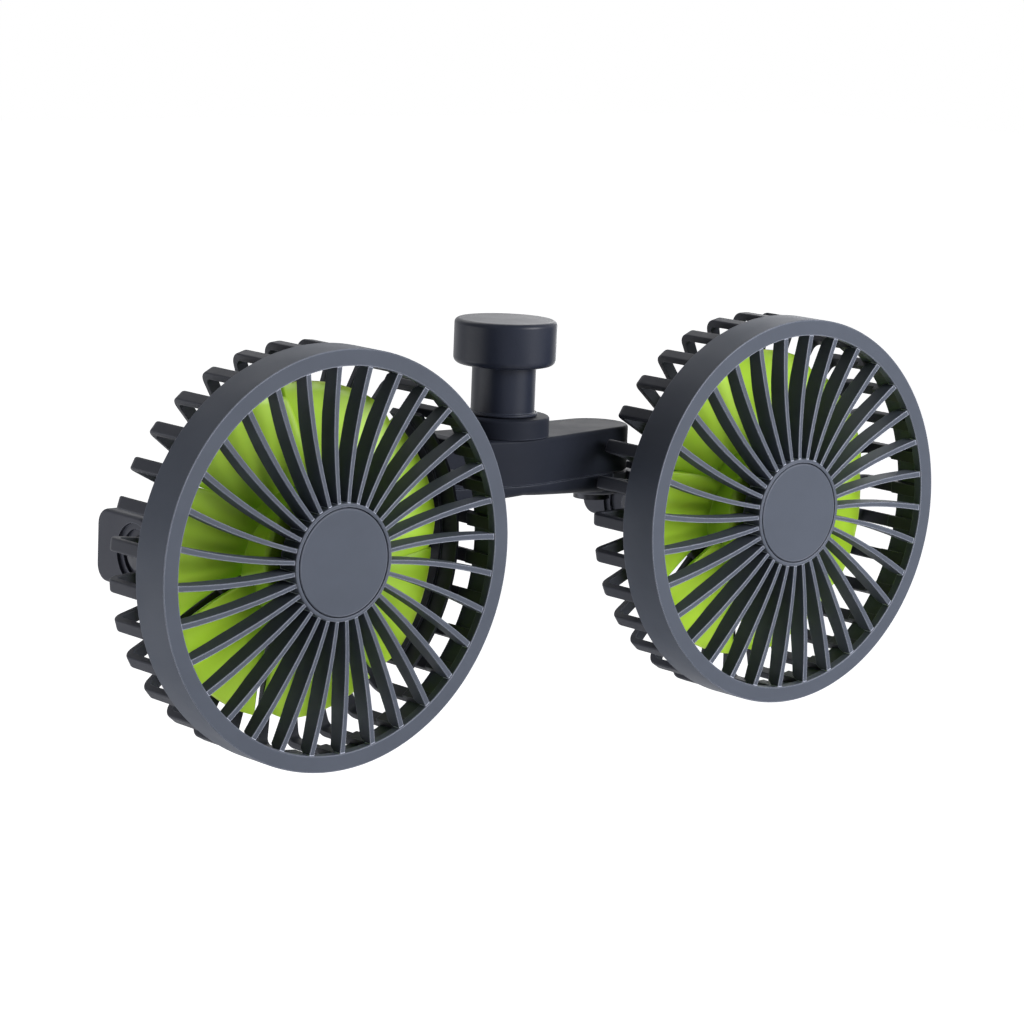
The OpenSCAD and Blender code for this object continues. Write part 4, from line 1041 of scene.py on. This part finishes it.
def stage_floor():
    """Plain pale floor. Near the object its own glow is weaker, so that a shadow shows there."""
    mesh = bpy.data.meshes.new("floor")
    corners = ((-1, -1), (1, -1), (1, 1), (-1, 1))
    mesh.from_pydata([(x * FLOOR_REACH, y * FLOOR_REACH, 0) for x, y in corners], [], [(0, 1, 2, 3)])
    floor = bpy.data.objects.new("floor", mesh)
    floor.location = (0, 0, FLOOR_Z)
    bpy.context.scene.collection.objects.link(floor)
    mat = bpy.data.materials.new("floor_white")
    mat.use_nodes = True
    tree = mat.node_tree
    tree.nodes.clear()
    out = tree.nodes.new("ShaderNodeOutputMaterial")
    diffuse = tree.nodes.new("ShaderNodeBsdfDiffuse")
    diffuse.inputs["Color"].default_value = (0.8, 0.8, 0.8, 1)
    glow = tree.nodes.new("ShaderNodeEmission")
    coords = tree.nodes.new("ShaderNodeTexCoord")
    distance = tree.nodes.new("ShaderNodeVectorMath")
    distance.operation = "LENGTH"
    level = tree.nodes.new("ShaderNodeMapRange")
    for key, value in FLOOR_GLOW.items():
        level.inputs[key].default_value = value
    strength = tree.nodes.new("ShaderNodeMath")
    strength.operation = "MULTIPLY"
    both = tree.nodes.new("ShaderNodeAddShader")
    wire(tree,
         (coords.outputs["Object"], distance.inputs[0]),
         (distance.outputs["Value"], level.inputs["Value"]),
         (level.outputs["Result"], strength.inputs[0]),
         (shown_rays(tree), strength.inputs[1]),
         (strength.outputs[0], glow.inputs["Strength"]),
         (diffuse.outputs[0], both.inputs[0]),
         (glow.outputs[0], both.inputs[1]),
         (both.outputs[0], out.inputs[0]))
    mesh.materials.append(mat)


def world():
    """White behind the object for rays that see the background, and dim light from all sides."""
    studio = bpy.data.worlds.new("studio")
    bpy.context.scene.world = studio
    studio.use_nodes = True
    tree = studio.node_tree
    tree.nodes.clear()
    out = tree.nodes.new("ShaderNodeOutputWorld")
    mix = tree.nodes.new("ShaderNodeMixShader")
    wire(tree, (shown_rays(tree), mix.inputs[0]), (mix.outputs[0], out.inputs[0]))
    for slot, colour, strength in ((1, (0.92, 0.95, 1.0, 1), 0.10), (2, (1, 1, 1, 1), 1.0)):
        background = tree.nodes.new("ShaderNodeBackground")
        background.inputs["Color"].default_value = colour
        background.inputs["Strength"].default_value = strength
        wire(tree, (background.outputs[0], mix.inputs[slot]))


def lamp(name, azimuth, height, distance, size, power):
    """Softbox aimed at the object. Azimuth 0 is in front of the rings, positive to the right."""
    a, h = math.radians(azimuth), math.radians(height)
    way = (math.sin(a) * math.cos(h), -math.cos(a) * math.cos(h), math.sin(h))
    place = tuple(c + distance * d for c, d in zip(LAMP_TARGET, way))
    light = bpy.data.lights.new(name, "AREA")
    light.shape = "RECTANGLE"
    light.size, light.size_y = size
    light.energy = power
    obj = bpy.data.objects.new(name, light)
    bpy.context.scene.collection.objects.link(obj)
    obj.location = place
    aim = Vector(LAMP_TARGET) - Vector(place)
    obj.rotation_euler = aim.to_track_quat("-Z", "Y").to_euler()


def camera():
    """The photograph's camera, fitted to both rings, the hubs and the foot."""
    az, el, roll = map(math.radians, (CAMERA_AZIMUTH, CAMERA_HEIGHT, CAMERA_ROLL))
    back = Vector((math.sin(az) * math.cos(el), -math.cos(az) * math.cos(el), math.sin(el)))
    right = (-back).cross(Vector((0, 0, 1))).normalized()
    up = right.cross(-back)
    right, up = (right * math.cos(roll) + up * math.sin(roll),
                 up * math.cos(roll) - right * math.sin(roll))
    place = Vector(CAMERA_TARGET) + back * CAMERA_DISTANCE
    data = bpy.data.cameras.new("photo")
    data.sensor_width = SENSOR_W
    data.lens = FOCAL_PIXELS / PHOTO_PIXELS * SENSOR_W
    data.clip_start, data.clip_end = 0.05, 20
    cam = bpy.data.objects.new("photo", data)
    bpy.context.scene.collection.objects.link(cam)
    turn = Matrix((right, up, back)).transposed().to_4x4()
    cam.matrix_world = Matrix.Translation(Vector(row(place))) @ turn
    bpy.context.scene.camera = cam


stage_floor()
world()
# Azimuth and height in degrees, distance and size in metres, power in watts
lamp("key", 26, 20, 1.1, (0.55, 0.55), 18.0)
lamp("top", 165, 48, 1.0, (0.9, 0.5), 2.6)
lamp("left", -112, -14, 0.9, (0.9, 0.3), 3.8)
lamp("rear", 130, 15, 1.0, (0.3, 0.9), 2.0)
camera()
bpy.context.scene.view_settings.view_transform = "Standard"
